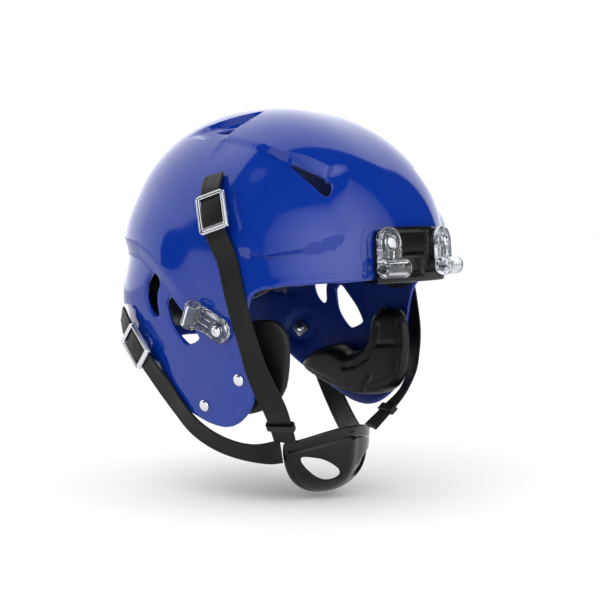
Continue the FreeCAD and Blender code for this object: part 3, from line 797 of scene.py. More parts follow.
def pair(name, points, faces, materials, body="helmet", nodes=(), kinds=None):
    """The right piece and its mirror image on the left, each on its own side's body."""
    pieces = []
    for hand, flip in (("right", 1), ("left", -1)):
        hand_faces = faces if flip == 1 else [face[::-1] for face in faces]
        rides = body.replace("SIDE", hand)
        piece = made(name + "_" + hand, np.asarray(points) * (flip, 1, 1), hand_faces, materials, rides, kinds)
        if nodes:
            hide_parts(*[each.replace("SIDE", hand) for each in nodes])
        pieces.append(piece)
    return pieces


UPPER_SEAT = seat((-109.197, -31.0, 92.0), (-0.975, -0.08, 0.205), (0.17, 0.32, 0.932))
LOWER_SEAT = seat((-102.557, 59.0, -16.0), (-0.96, 0.227, -0.166), (0.024, 0.655, 0.755))
UPPER_OUT, LOWER_OUT = (-0.975, -0.08, 0.205), (-0.96, 0.227, -0.166)
print("upper snap at", UPPER_SEAT((0, 0, 0)), "lower snap at", LOWER_SEAT((0, 0, 0)))

# %% [markdown]
# ## Chin straps
# Each strap is 19 mm nylon webbing, woven flat and 1.8 mm thick, that lies on the shell, crosses its edge
# and runs free to the chin cup. Cloth simulation would lose its flat ribbon shape, so the webbing is swept
# along the route and its finish carries the weave.

# %% The webbing of both straps
STRAP_WIDE, STRAP_THICK, SNAP_HEIGHT = 19.0, 1.8, 5.2


def over_shell(y, z, gap):
    """A station just outside the right side of the form."""
    point = np.array([side(y, z)])
    out = form_normals(point)[0]
    return point[0] + out * gap, out


def over_snap(place, out, tail_height):
    """Stations over a snap: up under the buckle and down again on its far side."""
    return [(place((0, y, height)), out) for y, height in ((18, tail_height), (9, 5.3), (-9, 5.3), (-18, 4.9))]


UPPER_ROUTE = [over_shell(-20.5, 121.5, 2.0), *over_snap(UPPER_SEAT, UPPER_OUT, 5.0), over_shell(-43, 58, 1.2),
               over_shell(-49.5, 34, 1.0), over_shell(-57, 6, 1.0), over_shell(-61.5, -11, 1.0),
               ((-102.5, -65, -28), (-.95, -.3, -.05)), ((-95, -68.5, -46), (-.88, -.45, -.1)),
               ((-84, -68, -61), (-.84, -.5, -.2)), ((-70, -62, -76), (-.86, -.42, -.3)),
               ((-55.5, -54.5, -91), (-.9, -.35, -.25))]
LOWER_ROUTE = [over_shell(81, 9, 4.0), *over_snap(LOWER_SEAT, LOWER_OUT, 5.2), over_shell(37, -47, 1.5),
               ((-97, 23, -66), (-.92, .1, -.35)), ((-92, 10, -81), (-.9, 0, -.4)),
               ((-83, -6, -93), (-.87, 0, -.4)),
               ((-70, -24, -100.5), (-.87, .1, -.35)), ((-58, -38, -102), (-.88, .15, -.2)),
               ((-51.5, -46.9, -100.5), (-.92, .2, -.1))]


def mapped(piece, run):
    """Give a webbing piece its map of millimetres along and across, from a row for each vertex."""
    layer = piece.data.uv_layers.new(name="run")
    corners = np.zeros(len(piece.data.loops), int)
    piece.data.loops.foreach_get("vertex_index", corners)
    layer.data.foreach_set("uv", run[corners].ravel())


def strap_profile():
    """Webbing section: flat, with a slightly thicker woven edge."""
    out = round_bar(STRAP_WIDE, STRAP_THICK, 0.55)
    top = [(x, STRAP_THICK + (0.14 if abs(x) > 8.0 else -0.06)) for x in (8.2, 7.0, 4.0, 0.0, -4.0, -7.0, -8.2)]
    low = [(x, (-0.14 if abs(x) > 8.0 else 0.06)) for x in (-8.2, -7.0, -4.0, 0.0, 4.0, 7.0, 8.2)]
    return out[0:10] + top + out[10:20] + low


def strap(which, route):
    """Webbing pair with its run mapped in millimetres."""
    name = which + "_strap_webbing"
    points, outs, marks = through(route, 2.0)
    profile = np.array(strap_profile())
    taper = np.ones(len(points))
    taper[:3] = 0.90, 0.96, 0.99
    profiles = profile[None] * np.stack([taper, np.ones(len(points))], 1)[:, None]
    grid, faces = swept(points, outs, profiles)
    straps = pair(name, grid, faces, [WEBBING], "", (which + "_strap_SIDE",))
    run = np.stack([np.repeat(marks, len(profile)), np.tile(profile[:, 0], len(marks))], 1)
    for piece, hand, flip in zip(straps, ("right", "left"), (MM, -MM)):
        mapped(piece, run)
        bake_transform(piece)
    print(name, "is %.0f mm long" % marks[-1])


strap("upper", UPPER_ROUTE)
strap("lower", LOWER_ROUTE)

# %% [markdown]
# ## Ladder buckles, snap caps and keepers
# A plated buckle sets each strap's length: the webbing arches up in its window and is pinched by a row of
# teeth. The frame is a rounded bar swept round a rectangle; a thin outer lip and the teeth give the sparkle
# that a plain ring would lack. The cap below it snaps on a stud in the shell.

# %% Buckles with their webbing loops
BUCKLE_WIDE, BUCKLE_LONG, BAR = 27.0, 32.0, 3.2
BUCKLE_LOW = SNAP_HEIGHT + STRAP_THICK + 0.2
ARCH_HALF = 11.2                     # half length of the webbing in the buckle's window
ARCH_BAR = round_bar(STRAP_WIDE - 0.6, 1.5, 0.5)


def frame_path(half_x, half_y, radius, height, corner=6):
    """Rounded rectangle about the seat's axis, counter-clockwise."""
    path = []
    corners = ((half_x, -half_y, -90), (half_x, half_y, 0), (-half_x, half_y, 90), (-half_x, -half_y, 180))
    for x, y, start in corners:
        cx, cy = x - math.copysign(radius, x), y - math.copysign(radius, y)
        for k in range(corner + 1):
            a = math.radians(start + 90 * k / corner)
            path.append((cx + radius * math.cos(a), cy + radius * math.sin(a), height))
    return np.array(path)


def buckle_parts():
    """Frame, outer lip, toothed bar and side rails in local millimetres."""
    parts = []
    for inset, radius, bar in ((BAR / 2, 2.2, (BAR, 2.2, 0.9)), (0.9, 2.6, (1.2, 2.6, 0.5))):
        path = frame_path(BUCKLE_WIDE / 2 - inset, BUCKLE_LONG / 2 - inset, radius, BUCKLE_LOW)
        parts.append(swept(path, upright(len(path)), round_bar(*bar), True))
    bar = np.array([(x, -12.0, BUCKLE_LOW) for x in (-11.0, -5.0, 0.0, 5.0, 11.0)])
    parts.append(swept(bar, upright(5), round_bar(2.4, 1.9, 0.7)))
    for k in range(13):
        x, root, tip = (k - 6) * 1.35, -11.6, -9.7
        tooth = [(x - 0.6, root, 0.3), (x + 0.6, root, 0.3), (x + 0.6, root, 2.3), (x - 0.6, root, 2.3),
                 (x - 0.3, tip, 0.9), (x + 0.3, tip, 0.9)]
        parts.append((np.array(tooth) + (0, 0, BUCKLE_LOW),
                      [(0, 1, 5, 4), (0, 3, 2, 1), (3, 4, 5, 2), (0, 4, 3), (1, 2, 5)]))
    for x in (-1, 1):
        rail = np.array([(x * 11.7, y, SNAP_HEIGHT) for y in (-15.0, -7.0, 0.0, 7.0, 15.0)])
        parts.append(swept(rail, upright(5), round_bar(2.6, 2.1, 0.6)))
    return joined(parts)


def arch():
    """The webbing that arches up in the buckle's window, with its map rows."""
    y = np.linspace(-ARCH_HALF, ARCH_HALF, 25)
    rise = BUCKLE_LOW - 1.3 + 2.0 * np.cos(y / ARCH_HALF * math.pi / 2) ** 0.6
    run = np.stack([np.repeat(y, len(ARCH_BAR)), np.tile(np.array(ARCH_BAR)[:, 0], len(y))], 1)
    return run, swept(np.column_stack([0 * y, y, rise]), upright(25), ARCH_BAR)


buckle_points, buckle_faces = buckle_parts()
arch_run, (arch_points, arch_faces) = arch()
CAP_PROFILE = [(0.4, 4.0), (6.0, 4.0), (6.8, 3.4), (6.8, 0.9), (8.0, 0.9), (8.4, 1.3), (8.4, 3.2), (8.1, 4.2),
               (7.2, 4.9), (5.6, 5.15), (2.5, 5.2), (0.4, 5.2)]
cap_points, cap_faces = turned(CAP_PROFILE, 48)
for which, place in (("upper", UPPER_SEAT), ("lower", LOWER_SEAT)):
    rides = which + "_strap_SIDE"
    for piece in pair(which + "_ladder_buckle", place(buckle_points), buckle_faces, [CHROME], rides,
                      (which + "_buckle_SIDE",)):
        sharpened(piece, 40)
    for piece in pair(which + "_buckle_webbing", place(arch_points), arch_faces, [WEBBING], rides, ()):
        mapped(piece, arch_run)
    for piece in pair(which + "_cap", place(cap_points), cap_faces, [CHROME], rides,
                      (which + "_snap_cap_SIDE",)):
        sharpened(piece, 50)
print("buckle faces:", len(buckle_faces))

# %% Keeper loops near the cup
keeper_along = np.array((0.655, 0.31, -0.69)) / np.linalg.norm((0.655, 0.31, -0.69))
keeper_out = np.array((-.86, -.42, -.3))
keeper_out -= keeper_along * np.dot(keeper_out, keeper_along)
keeper_seat = seat((-70.0, -62.0, -76.0), keeper_out, -keeper_along)
loop_path = frame_path(STRAP_WIDE / 2 + 1.6, STRAP_THICK / 2 + 1.6, 1.5, 0.0, 5)
loop_points = np.column_stack([loop_path[:, 0], np.zeros(len(loop_path)), loop_path[:, 1] + STRAP_THICK / 2])
keeper_points, keeper_faces = swept(loop_points, np.tile((0.0, 1.0, 0.0), (len(loop_points), 1)),
                                    round_bar(1.2, 7.0, 0.5, -3.5), True)
pair("keeper_loop", keeper_seat(keeper_points), keeper_faces, [RUBBER_BLACK], "upper_strap_SIDE",
     ("strap_keeper_SIDE",))
print("keeper at", keeper_seat((0, 0, 0)))

# %% [markdown]
# ## Chin cup
# The cup is one moulding of tough urethane: a band that cradles the chin, a nose ridge down its front, and a
# loop below with a large opening in each side. It uses the same way as the shell, a formula for the bowl
# with outlines laid on it, which keeps the wall even. The grooves are drawn into the surface as narrow dips.

# %% The bowl, its outlines and its grooves
CUP_WALL = 3.0
CUP_MID_Y, CUP_MID_Z, CUP_DROP = -48.0, -93.0, 46.5
CUP_HALF_WIDTH, CUP_FRONT, CUP_REAR = 51.0, 31.0, 28.0
CUP_PLAN_POWER, CUP_BOWL_POWER = 1.9, 2.3


def cup_level(points):
    """Under 1 inside the bowl, over 1 outside it."""
    x, y, z = points.T
    rise = np.clip((CUP_MID_Z - z) / CUP_DROP, 0.0, 1.0)
    share = np.maximum(1.0 - rise ** CUP_BOWL_POWER, 1e-9) ** (1.0 / CUP_BOWL_POWER)
    depth = np.where(y < CUP_MID_Y, CUP_FRONT, CUP_REAR) * share
    value = (np.abs(x) / (CUP_HALF_WIDTH * share)) ** CUP_PLAN_POWER
    value += (np.abs(y - CUP_MID_Y) / depth) ** CUP_PLAN_POWER
    return np.where(z <= CUP_MID_Z - CUP_DROP, 2.0, value)


form.update(level=cup_level, centre=np.array([0.0, -48.0, -96.0]), top=-1.0, reach=(5.0, 90.0))
CUP_LINE = [(0.0, -79.0, -82.2), (-16.0, -77.4, -82.9), (-31.5, -71.6, -86.0), (-44.0, -62.0, -90.3),
            (-50.0, -54.0, -92.0), (-51.0, -48.0, -93.0), (-51.0, -46.6, -100.0), (-50.0, -46.5, -107.6),
            (-45.5, -46.4, -118.0), (-36.0, -46.4, -129.0), (-22.0, -48.4, -136.0), (0.0, -50.0, -139.3)]
CUP_GAP = [(-44.3, -61.2, -104.5), (-38.1, -66.7, -105.2), (-29.1, -71.7, -107.1), (-19.2, -74.4, -112.0),
           (-10.5, -74.7, -117.5), (-7.1, -73.1, -122.8), (-10.2, -70.3, -126.7), (-20.8, -67.0, -127.2),
           (-29.9, -65.3, -123.0), (-38.2, -63.1, -116.2), (-43.8, -60.7, -109.6)]
CUP_SEAM = [(0.0, -79.0, -90.6), (-2.7, -78.9, -90.6), (-23.7, -74.9, -93.3), (-39.4, -66.7, -97.0),
            (-48.0, -57.1, -99.6), (-51.0, -50.0, -101.0)]
CUP_BORDER = [(-50.2, -53.0, -104.0), (-48.8, -52.4, -107.3), (-45.7, -52.0, -115.9), (-38.5, -52.2, -125.9),
              (-26.0, -52.6, -134.0), (0.0, -54.0, -139.4)]
cup_edge = slid(even(rounded(CUP_LINE, 1, False), 1.6, False), 0.9, False)
cup_edge[[0, -1], 0] = 0.0
cup_gap = slid(even(rounded(CUP_GAP, 2, True), 1.4, True), 0.9, True)
cup_seam, cup_border = [even(rounded(line, 2, False), 0.8, False) for line in (CUP_SEAM, CUP_BORDER)]


def cup_relief(points, uv):
    """Nose ridge, the band's seam and the border of the loop, in millimetres."""
    x, _, z = points.T
    ridge = 1.6 * np.exp(-(x / 7.0) ** 2) * ease((-z - 84.0) / 12.0) * ease((z + 136.0) / 16.0)
    seam = distance_to(points, cup_seam)
    border = distance_to(points, cup_border)
    return ridge - 0.75 * np.exp(-(seam / 0.75) ** 2) - 0.85 * np.exp(-(border / 0.8) ** 2)


cup_rows = [slid(line, distance, False)[1:-1] for line in (cup_seam[::2], cup_border[::2])
            for distance in (-1.5, -0.7, 0.0, 0.7, 1.5)]
cup_places, cup_half = half_mesh(cup_edge, [cup_gap], cup_rows, 1.9, 48.0, 2.2)
cup_points, cup_faces, _, _ = walled(cup_places, cup_half, cup_relief, CUP_WALL, 0.9)
form.update(HEAD)
cup = made("chin_cup_moulding", cup_points, cup_faces, [CUP_BLACK])
stands_for("chin_cup")
sharpened(cup, 50)
print("chin cup faces:", len(cup_faces))

# %% [markdown]
# ## Pads
# Jaw pads and liner pads are foam wrapped in a thin vinyl skin that is welded down along grooves, so each
# panel stands up as a soft cushion between them. A cloth simulation would round the panels evenly and lose
# the welded grooves, so the pads are raised by height instead: every point is lifted by how far it lies from
# the pad's edge and pressed down near a groove.

# %% A pad from an outline, a thickness and its grooves
def laid(uv):
    """Flat places with a third coordinate of nought."""
    return np.column_stack([uv, np.zeros(len(uv))])


def cushion(outline, spacing, place, depth, crown, grooves=(), groove=(2.2, 2.6), edge_share=0.3):
    """A closed pad. outline is flat (u, v); place(uv, t) gives the points at share t of the depth."""
    loop = np.array(outline, float)
    for _ in range(2):
        nxt = np.roll(loop, -1, axis=0)
        loop = np.stack([loop * 0.75 + nxt * 0.25, loop * 0.25 + nxt * 0.75], 1).reshape(-1, 2)
    closed = np.vstack([loop, loop[:1]])
    run = run_of(closed)
    marks = np.linspace(0.0, run[-1], int(run[-1] / spacing) + 1)[:-1]
    loop = np.stack([np.interp(marks, run, closed[:, k]) for k in range(2)], 1)

    low, high = loop.min(0), loop.max(0)
    us, vs = np.meshgrid(np.arange(low[0], high[0], spacing), np.arange(low[1], high[1], spacing * 0.87))
    us[1::2] += spacing / 2
    grid = np.column_stack([us.ravel(), vs.ravel()])
    grid = grid[within(grid, loop)]
    grid = grid[distance_to(laid(grid), laid(loop)) > spacing * 0.7]
    flat_points = np.vstack([loop, grid])
    edges = [(k, (k + 1) % len(loop)) for k in range(len(loop))]
    result = geometry.delaunay_2d_cdt([Vector(point) for point in flat_points], edges, [], 1, 1e-6)
    uv = np.array([tuple(point) for point in result[0]])
    faces = [tuple(face) for face in result[2]]
    distance = distance_to(laid(uv), laid(loop))
    soft = np.clip(distance / (depth * 0.45), 0.0, 1.0)
    share = edge_share + (1.0 - edge_share) * np.sqrt(1.0 - (1.0 - soft) ** 2)
    share = share * (1.0 + crown * ease(distance / (depth * 1.6)))
    sink = np.zeros(len(uv))
    for line in grooves:
        line = np.array(line, float)
        fine = np.vstack([line[k] + (line[k + 1] - line[k]) * t for k in range(len(line) - 1)
                          for t in np.linspace(0, 1, 25)])
        sink = np.maximum(sink, np.exp(-(distance_to(laid(uv), laid(fine)) / groove[0]) ** 2))
    front = place(uv, share - sink * groove[1] / depth)
    rear = place(uv, np.where(distance < 0.2, 0.05, 0.0))
    count = len(uv)
    directed = {(a, b): True for face in faces for a, b in zip(face, face[1:] + face[:1])}
    rim = [(b, a, count + a, count + b) for a, b in directed if (b, a) not in directed]
    return np.vstack([front, rear]), faces + [tuple(count + k for k in face[::-1]) for face in faces] + rim


def padding(piece):
    """Outward faces."""
    outward(piece)


# %% Jaw pads
JAW_OUTLINE = [(44, -44), (25, -30), (9, -26), (-2, -27), (-12, -33), (-26, -27), (-33, -19), (-37, 2),
               (-44, 7),
               (-60, 10), (-71, 7), (-78, -6), (-78, -28), (-75, -46), (-66, -58), (-46, -67), (-24, -69),
               (5, -65), (34, -54)]
JAW_FACE = 73.5


def jaw_place(uv, share):
    """Right jaw pad: the back follows the shell's inside, the front is the plane at the cheek."""
    outer = np.array(sides(*uv))[:, 0] + WALL + 2.4
    bevel = -92.4 + np.clip((-uv[:, 0] - 46.0) / 44.0, 0.0, 1.0) * 17.0
    outer = np.where(uv[:, 0] < -46.0, np.maximum(outer, bevel), outer)
    depth = -JAW_FACE - outer
    return np.column_stack([outer + depth * share, uv[:, 0], uv[:, 1]])


JAW_GROOVES = [[(-12, -45), (-24, -42), (-38, -34), (-46, -22), (-48, -6)],
               [(-70, -2), (-70, -28), (-67, -44), (-58, -53), (-42, -59), (-24, -61), (4, -58), (30, -50)],
               [(-40, -50), (-30, -66)], [(-46, -22), (-74, -20)]]
jaw_points, jaw_faces = cushion(JAW_OUTLINE, 2.1, jaw_place, 22.0, 0.03, JAW_GROOVES, (1.6, 2.4),
                                edge_share=0.42)
for pad in pair("jaw_pad_cushion", jaw_points, jaw_faces, [PAD_SKIN], "jaw_pad_SIDE", ("jaw_pad_SIDE",)):
    padding(pad)
print("jaw pad faces:", len(jaw_faces))

# %% Liner pads on the inside of the head form
LINER_BACK, LINER_DEEP = WALL + 2.6, 21.0


def liner(name, outline, spot, grooves, spacing, node_name):
    """One liner pad on the form's inside, or a mirrored pair; spot turns (u, v) into a direction."""
    def place(uv, share):
        points = on_form(np.array([spot(u, v) for u, v in uv]))
        return points - form_normals(points) * (LINER_BACK + LINER_DEEP * share[:, None])

    points, faces = cushion(outline, spacing, place, LINER_DEEP, 0.0, grooves, (2.0, 3.0), edge_share=0.35)
    if node_name.endswith("SIDE"):
        pieces = pair(name, points, faces, [PAD_SKIN], "helmet", (node_name,))
    else:
        pieces = [made(name, points, faces, [PAD_SKIN])]
        stands_for(node_name)
    for piece in pieces:
        padding(piece)


def boxy(a, b, c, d, cut=9.0):
    """Rectangle with cut corners, from (a, b) to (c, d)."""
    return [(a + cut, b), (c - cut, b), (c, b + cut), (c, d - cut),
            (c - cut, d), (a + cut, d), (a, d - cut), (a, b + cut)]


liner("brow_pad_cushion", boxy(-57, 47, 57, 103), lambda u, v: (u, -135.0, v),
      [[(-57, 60), (57, 60)], [(-30, 60), (-30, 103)], [(0, 60), (0, 103)], [(30, 60), (30, 103)]],
      2.6, "brow_pad")
liner("crown_pad_cushion", boxy(-51, -55, 51, 61, 16), lambda u, v: (u, v, 175.0),
      [[(-51, -18), (51, -18)], [(-51, 22), (51, 22)], [(-17, -55), (-17, 61)], [(17, -55), (17, 61)]],
      3.0, "crown_pad")
liner("rear_pad_cushion", boxy(-59, -13, 59, 95, 12), lambda u, v: (u, 118.0, v),
      [[(-59, 20), (59, 20)], [(-59, 56), (59, 56)], [(-22, -13), (-22, 95)], [(22, -13), (22, 95)]],
      3.0, "rear_pad")
SIDE_PAD = [(-83, 41), (-66, 29), (-48, 23), (-34, 32), (-6, 43), (21, 61), (21, 103), (-75, 103)]
liner("side_pad_cushion", SIDE_PAD, side,
      [[(-80, 72), (21, 72)], [(-46, 30), (-46, 103)], [(-12, 40), (-12, 103)]], 2.6, "side_pad_SIDE")
print("liner pads done")

# %% [markdown]
# ## Front bumper
# A soft urethane guard hooks under the brow and carries the two front clips. It is a curved plate with a
# raised frame, a plain name panel and a lower recess, and a rolled lip that turns in under the shell's edge.
# The plate is raised by height over the head form, as the pads are, because its back has to follow the shell
# exactly.

# %% Bumper plate and its rolled lip
BUMPER_BACK, BUMPER_FACE = 0.8, 4.4


def bumper_place(uv, share):
    """Front plate: u is across and v is up; its frame is proud and its two panels are sunk."""
    points = on_form(np.column_stack([uv[:, 0], np.full(len(uv), -140.0), uv[:, 1]]))
    normals = form_normals(points)

    def sunk(half, low, high, soften=1.4):
        across = ease((half + 0.5 - np.abs(uv[:, 0])) / soften)
        return across * ease((uv[:, 1] - low) / soften) * ease((high - uv[:, 1]) / soften)

    name_panel = sunk(18.5, 60.5, 80.0)
    panel = 1.5 * name_panel + 2.1 * sunk(12.0, 43.5, 58.5) + 0.7 * sunk(42.5, 46.0, 79.5) * (1 - name_panel)
    height = BUMPER_BACK + (BUMPER_FACE - BUMPER_BACK) * share - panel * (share > 0.3)
    return points + normals * height[:, None]


bumper_outline = [(-45.5, 39.5), (-45.5, 60), (-45.8, 77), (-40, 82.8), (0, 82.8),
                  (40, 82.8), (45.8, 77), (45.5, 60), (45.5, 39.5), (0, 39.0)]
plate_points, plate_faces = cushion(bumper_outline, 1.15, bumper_place, 3.6, 0.0, edge_share=0.45)
lip_x = np.linspace(-44.5, 44.5, 48)
lip_line = on_form(np.column_stack([lip_x, np.full(48, -138.0), np.full(48, 41.2)]))
lip_out = form_normals(lip_line) * (1, 1, 0)
lip_points, lip_faces = swept(lip_line, lip_out, round_bar(5.8, 15.8, 1.4, -11.4))
bumper_points, bumper_faces = joined([(plate_points, plate_faces), (lip_points, lip_faces)])
bumper = made("front_bumper_moulding", bumper_points, bumper_faces, [BUMPER_BLACK])
outward(bumper)
sharpened(bumper, 45)
stands_for("front_bumper")
print("bumper faces:", len(bumper.data.polygons))

# %% [markdown]
# ## Face guard clips
# Each clip is one clear polycarbonate moulding: an eye for the screw, a web with raised loops, and a sleeve
# for the guard's wire. Clear parts show every inner face, so overlapping solids would look wrong. The parts
# are swept, then fused into one skin with a fine voxel remesh, which also gives the soft inner corners of a
# moulding.

# %% Clip shape
BORE_R, EYE_R = 3.9, 2.9             # for the guard's wire and for the screw


def circle_line(radius, height):
    """Forty points round the screw's axis."""
    turn = np.linspace(0.0, 2 * math.pi, 40, endpoint=False)
    return np.column_stack([radius * np.cos(turn), radius * np.sin(turn), np.full(40, height)])


def clip_parts(width, reach, tube_r, tube_long, plate, lift):
    """Eye, web, sleeve and raised loops in the clip's own millimetres."""
    eye_wide, web_high = width / 2 - EYE_R, plate * 0.72
    loop_r, loop_z = width / 2 - 2.3, lift + web_high - 0.3
    eye_bar = round_bar(eye_wide, plate * 0.8, 1.1)
    parts = [swept(circle_line(EYE_R + eye_wide / 2, lift), upright(40), eye_bar, True)]
    web = np.column_stack([np.zeros(9), np.linspace(4.4, reach - 4.3, 9), np.full(9, lift)])
    parts.append(swept(web, upright(9), round_bar(width - 0.4, web_high, 1.1)))
    turn = np.linspace(0.0, 2 * math.pi, 44, endpoint=False)
    radial = np.column_stack([np.zeros(44), np.cos(turn), np.sin(turn)])
    sleeve = radial * BORE_R + (0.0, reach, lift + tube_r)
    parts.append(swept(sleeve, radial, round_bar(tube_long, tube_r - BORE_R - 0.05, 0.9), True))
    bend = math.pi + math.pi * np.arange(17) / 16
    loop = [(loop_r * math.cos(a), loop_r * math.sin(a), loop_z) for a in bend]
    loop += [(loop_r, reach - 5.0, loop_z), (-loop_r, reach - 5.0, loop_z)]
    parts.append(swept(np.array(loop), upright(len(loop)), round_bar(1.6, 2.0, 0.6), True))
    parts.append(swept(circle_line(6.0, lift + plate * 0.8 - 0.4), upright(40), round_bar(1.5, 1.9, 0.6), True))
    for x in (-2.6, 2.6):
        rib = np.column_stack([np.full(6, x), np.linspace(6.5, reach - 5.0, 6), np.full(6, lift + plate * 0.6)])
        parts.append(swept(rib, upright(6), round_bar(1.2, 2.0, 0.5)))
    return joined(parts)


def fused(name, points, faces, voxel):
    """The parts as one skin: voxel remesh and a light smoothing, taken from the evaluated mesh."""
    rough = made(name + "_parts", points, faces, [], body=None)
    cut = rough.modifiers.new("fuse", "REMESH")
    cut.mode, cut.voxel_size = "VOXEL", voxel * MM
    smooth = rough.modifiers.new("ease", "SMOOTH")
    smooth.factor, smooth.iterations = 0.5, 3
    whole = bpy.data.meshes.new_from_object(rough.evaluated_get(bpy.context.evaluated_depsgraph_get()))
    skin = np.array([tuple(vertex.co) for vertex in whole.vertices]) / MM
    result = skin, [tuple(face.vertices) for face in whole.polygons]
    bpy.data.objects.remove(rough)
    return result


def seat_on_form(point, up):
    """A seat square to the form at a point on it."""
    return seat(point, form_normals(np.array([point]))[0], up)


FRONT_SEAT = seat_on_form((-34.0, -135.655, 70.0), (0.0, 0.0, -1.0))
SIDE_SEAT = seat_on_form(side(-34.0, 1.5), (0.0, 0.90, 0.44))
CLIPS = {"front": (FRONT_SEAT, clip_parts(24.0, 20.5, 7.5, 24.0, 6.0, 4.9), 4.9 + 6.0 * 0.8),
         "side": (SIDE_SEAT, clip_parts(20.0, 27.0, 6.8, 20.0, 6.5, 0.5), 0.5 + 6.5 * 0.8)}
for which, (place, (clip_points, clip_faces), _) in CLIPS.items():
    skin_points, skin_faces = fused(which, clip_points, clip_faces, 0.5)
    pair(which + "_clear_clip", place(skin_points), skin_faces, [CLEAR], "helmet",
         (which + "_clip_SIDE",))
    print(which, "clip faces:", len(skin_faces))

# %% [markdown]
# ## Screws, snaps, rivets and plates
# The metal parts are small, but their bright rims catch the eye first. All are turned from a half section,
# with a dish or a dimple where the driver or the rivet tool has been.

# %% Turned metal parts
def screw_profile(top):
    """Nut, shank and domed head with a dish for the driver; top is the clip's upper face."""
    nut = [(0.2, -6.6), (2.2, -6.6), (2.2, -6.2), (6.8, -6.1), (7.0, -5.6), (6.9, -4.7), (2.4, -4.6)]
    head = [(2.4, -0.1), (4.4, 0), (4.6, 0.5), (4.45, 1.3), (3.6, 2.1), (2.5, 2.5),
            (1.7, 2.4), (1.3, 1.4), (0.2, 1.3)]
    return nut + [(radius, top + height) for radius, height in head]


STUD = [(0.2, -6.9), (2.6, -6.9), (3.2, -6.5), (2.4, -6.25), (2.4, 0.1), (6.0, 0.1), (6.1, 0.4), (5.9, 0.65),
        (4.5, 0.7), (4.2, 1.6), (4.2, 2.6), (3.7, 3.3), (2.6, 3.45), (1.8, 2.9), (0.2, 2.8)]
RIVET = [(0.2, -4.5), (2.3, -4.5), (2.3, 0.45), (4.7, 0.5), (4.85, 0.8), (4.5, 1.35), (3.6, 1.75),
         (2.2, 1.95), (1.0, 1.98),
         (0.6, 1.75), (0.2, 1.7)]
for which, (place, _, top) in CLIPS.items():
    screw_points, screw_faces = turned(screw_profile(top + 0.1), 36)
    for piece in pair(which + "_clip_bolt", place(screw_points), screw_faces, [CHROME], "helmet",
                      (which + "_clip_screw_SIDE",)):
        sharpened(piece, 35)


def fixed_metal(name, shape, seats, material, node_name):
    """One piece for all the seats that share a CAD node, and for their mirror images."""
    parts = [(place(shape[0]), shape[1]) for place in seats]
    parts += [(points * (-1, 1, 1), [face[::-1] for face in faces]) for points, faces in parts]
    piece = made(name, *joined(parts), [material])
    stands_for(node_name)
    sharpened(piece, 35)


SNAP_SEATS = (UPPER_SEAT, LOWER_SEAT)
RIVET_SEATS = [seat_on_form(point, (0.0, 0.0, 1.0)) for point in sides((-46, -38), (-5, -62))]
plate_rows = np.array([(0.0, 0.0, z) for z in (-6.2, -6.05, -5.2, -5.0)])
plate_profile = np.array(round_bar(12.0, 12.0, 1.4, -6.0))
square = swept(plate_rows, np.tile((0.0, 1.0, 0.0), (4, 1)),
               np.stack([plate_profile * share for share in (0.96, 1.0, 1.0, 0.96)]))
fixed_metal("snap_studs", turned(STUD, 36), SNAP_SEATS, CHROME, "strap_studs")
fixed_metal("jaw_rivets", turned(RIVET, 36), RIVET_SEATS, CHROME, "jaw_pad_rivets")
fixed_metal("square_plates", square, SNAP_SEATS, ZINC, "stud_back_plates")
print("metal parts done")

# %% [markdown]
# ## Clear liner sheet and shell beads
# A thin clear sheet holds the rear pad and shows past its sides. The fine raised lines on the shell frame
# the snap pocket and the bumper. At the shell's mesh size they would blur, so they are their own thin sweeps
# of the same plastic, sunk halfway into it.

# %% The sheet
SHEET_OUT, SHEET_IN = WALL + 1.0, WALL + 1.6
sheet_turn = np.linspace(-0.93, 0.93, 60)
sheet_z = np.linspace(-13.5, 39.5, 20)
sheet_on = on_form([(115.0 * math.sin(a), 115.0 * math.cos(a), z) for z in sheet_z for a in sheet_turn])
sheet_normals = form_normals(sheet_on)
sheet_points = np.vstack([sheet_on - sheet_normals * SHEET_OUT, sheet_on - sheet_normals * SHEET_IN])
index = np.arange(len(sheet_on)).reshape(len(sheet_z), len(sheet_turn))
count = index.size
sheet_faces = []
for a, b, c, d in zip(index[:-1, :-1].flat, index[:-1, 1:].flat, index[1:, 1:].flat, index[1:, :-1].flat):
    sheet_faces += [(a, b, c, d), (count + a, count + d, count + c, count + b)]
ring = np.concatenate([index[0], index[1:, -1], index[-1, -2::-1], index[-2:0:-1, 0]])
sheet_faces += [(a, count + a, count + b, b) for a, b in zip(ring, np.roll(ring, -1))]
clear = made("clear_liner_sheet", sheet_points, sheet_faces, [SHEET])
outward(clear)
stands_for("liner_sheet")

# %% Fine beads on the shell
def bead(name, line, wide, high, closed):
    """A raised line of shell plastic on both sides, half sunk."""
    line = on_form(np.asarray(line, float))
    outs = form_normals(line)
    points, faces = swept(line, outs, round_bar(wide, high + 0.5, min(wide, high) * 0.45, -0.5), closed)
    pair(name, points, faces, [SHELL_BLUE], "helmet", ())


pocket = UPPER_SEAT(frame_path(18.5, 18.0, 5.0, 0.0, 5))
bead("snap_pocket_bead", even(pocket, 1.8, True), 0.9, 0.3, True)
beside_bumper = [(-48.0, -125.0, 47.5), (-51.0, -124.0, 52.0), (-51.5, -124.0, 62.0),
                 (-51.0, -124.0, 72.0), (-48.5, -125.0, 79.0)]
bead("bumper_bead", even(rounded(beside_bumper, 2, False), 1.5, False), 0.9, 0.3, False)
print("beads done")

# %% [markdown]
# ## Studio
# The helmet hangs as on a stand, turned three quarters to the camera, under large soft lamps. A white
# surround gives the long pale reflections that show how glossy the shell is.

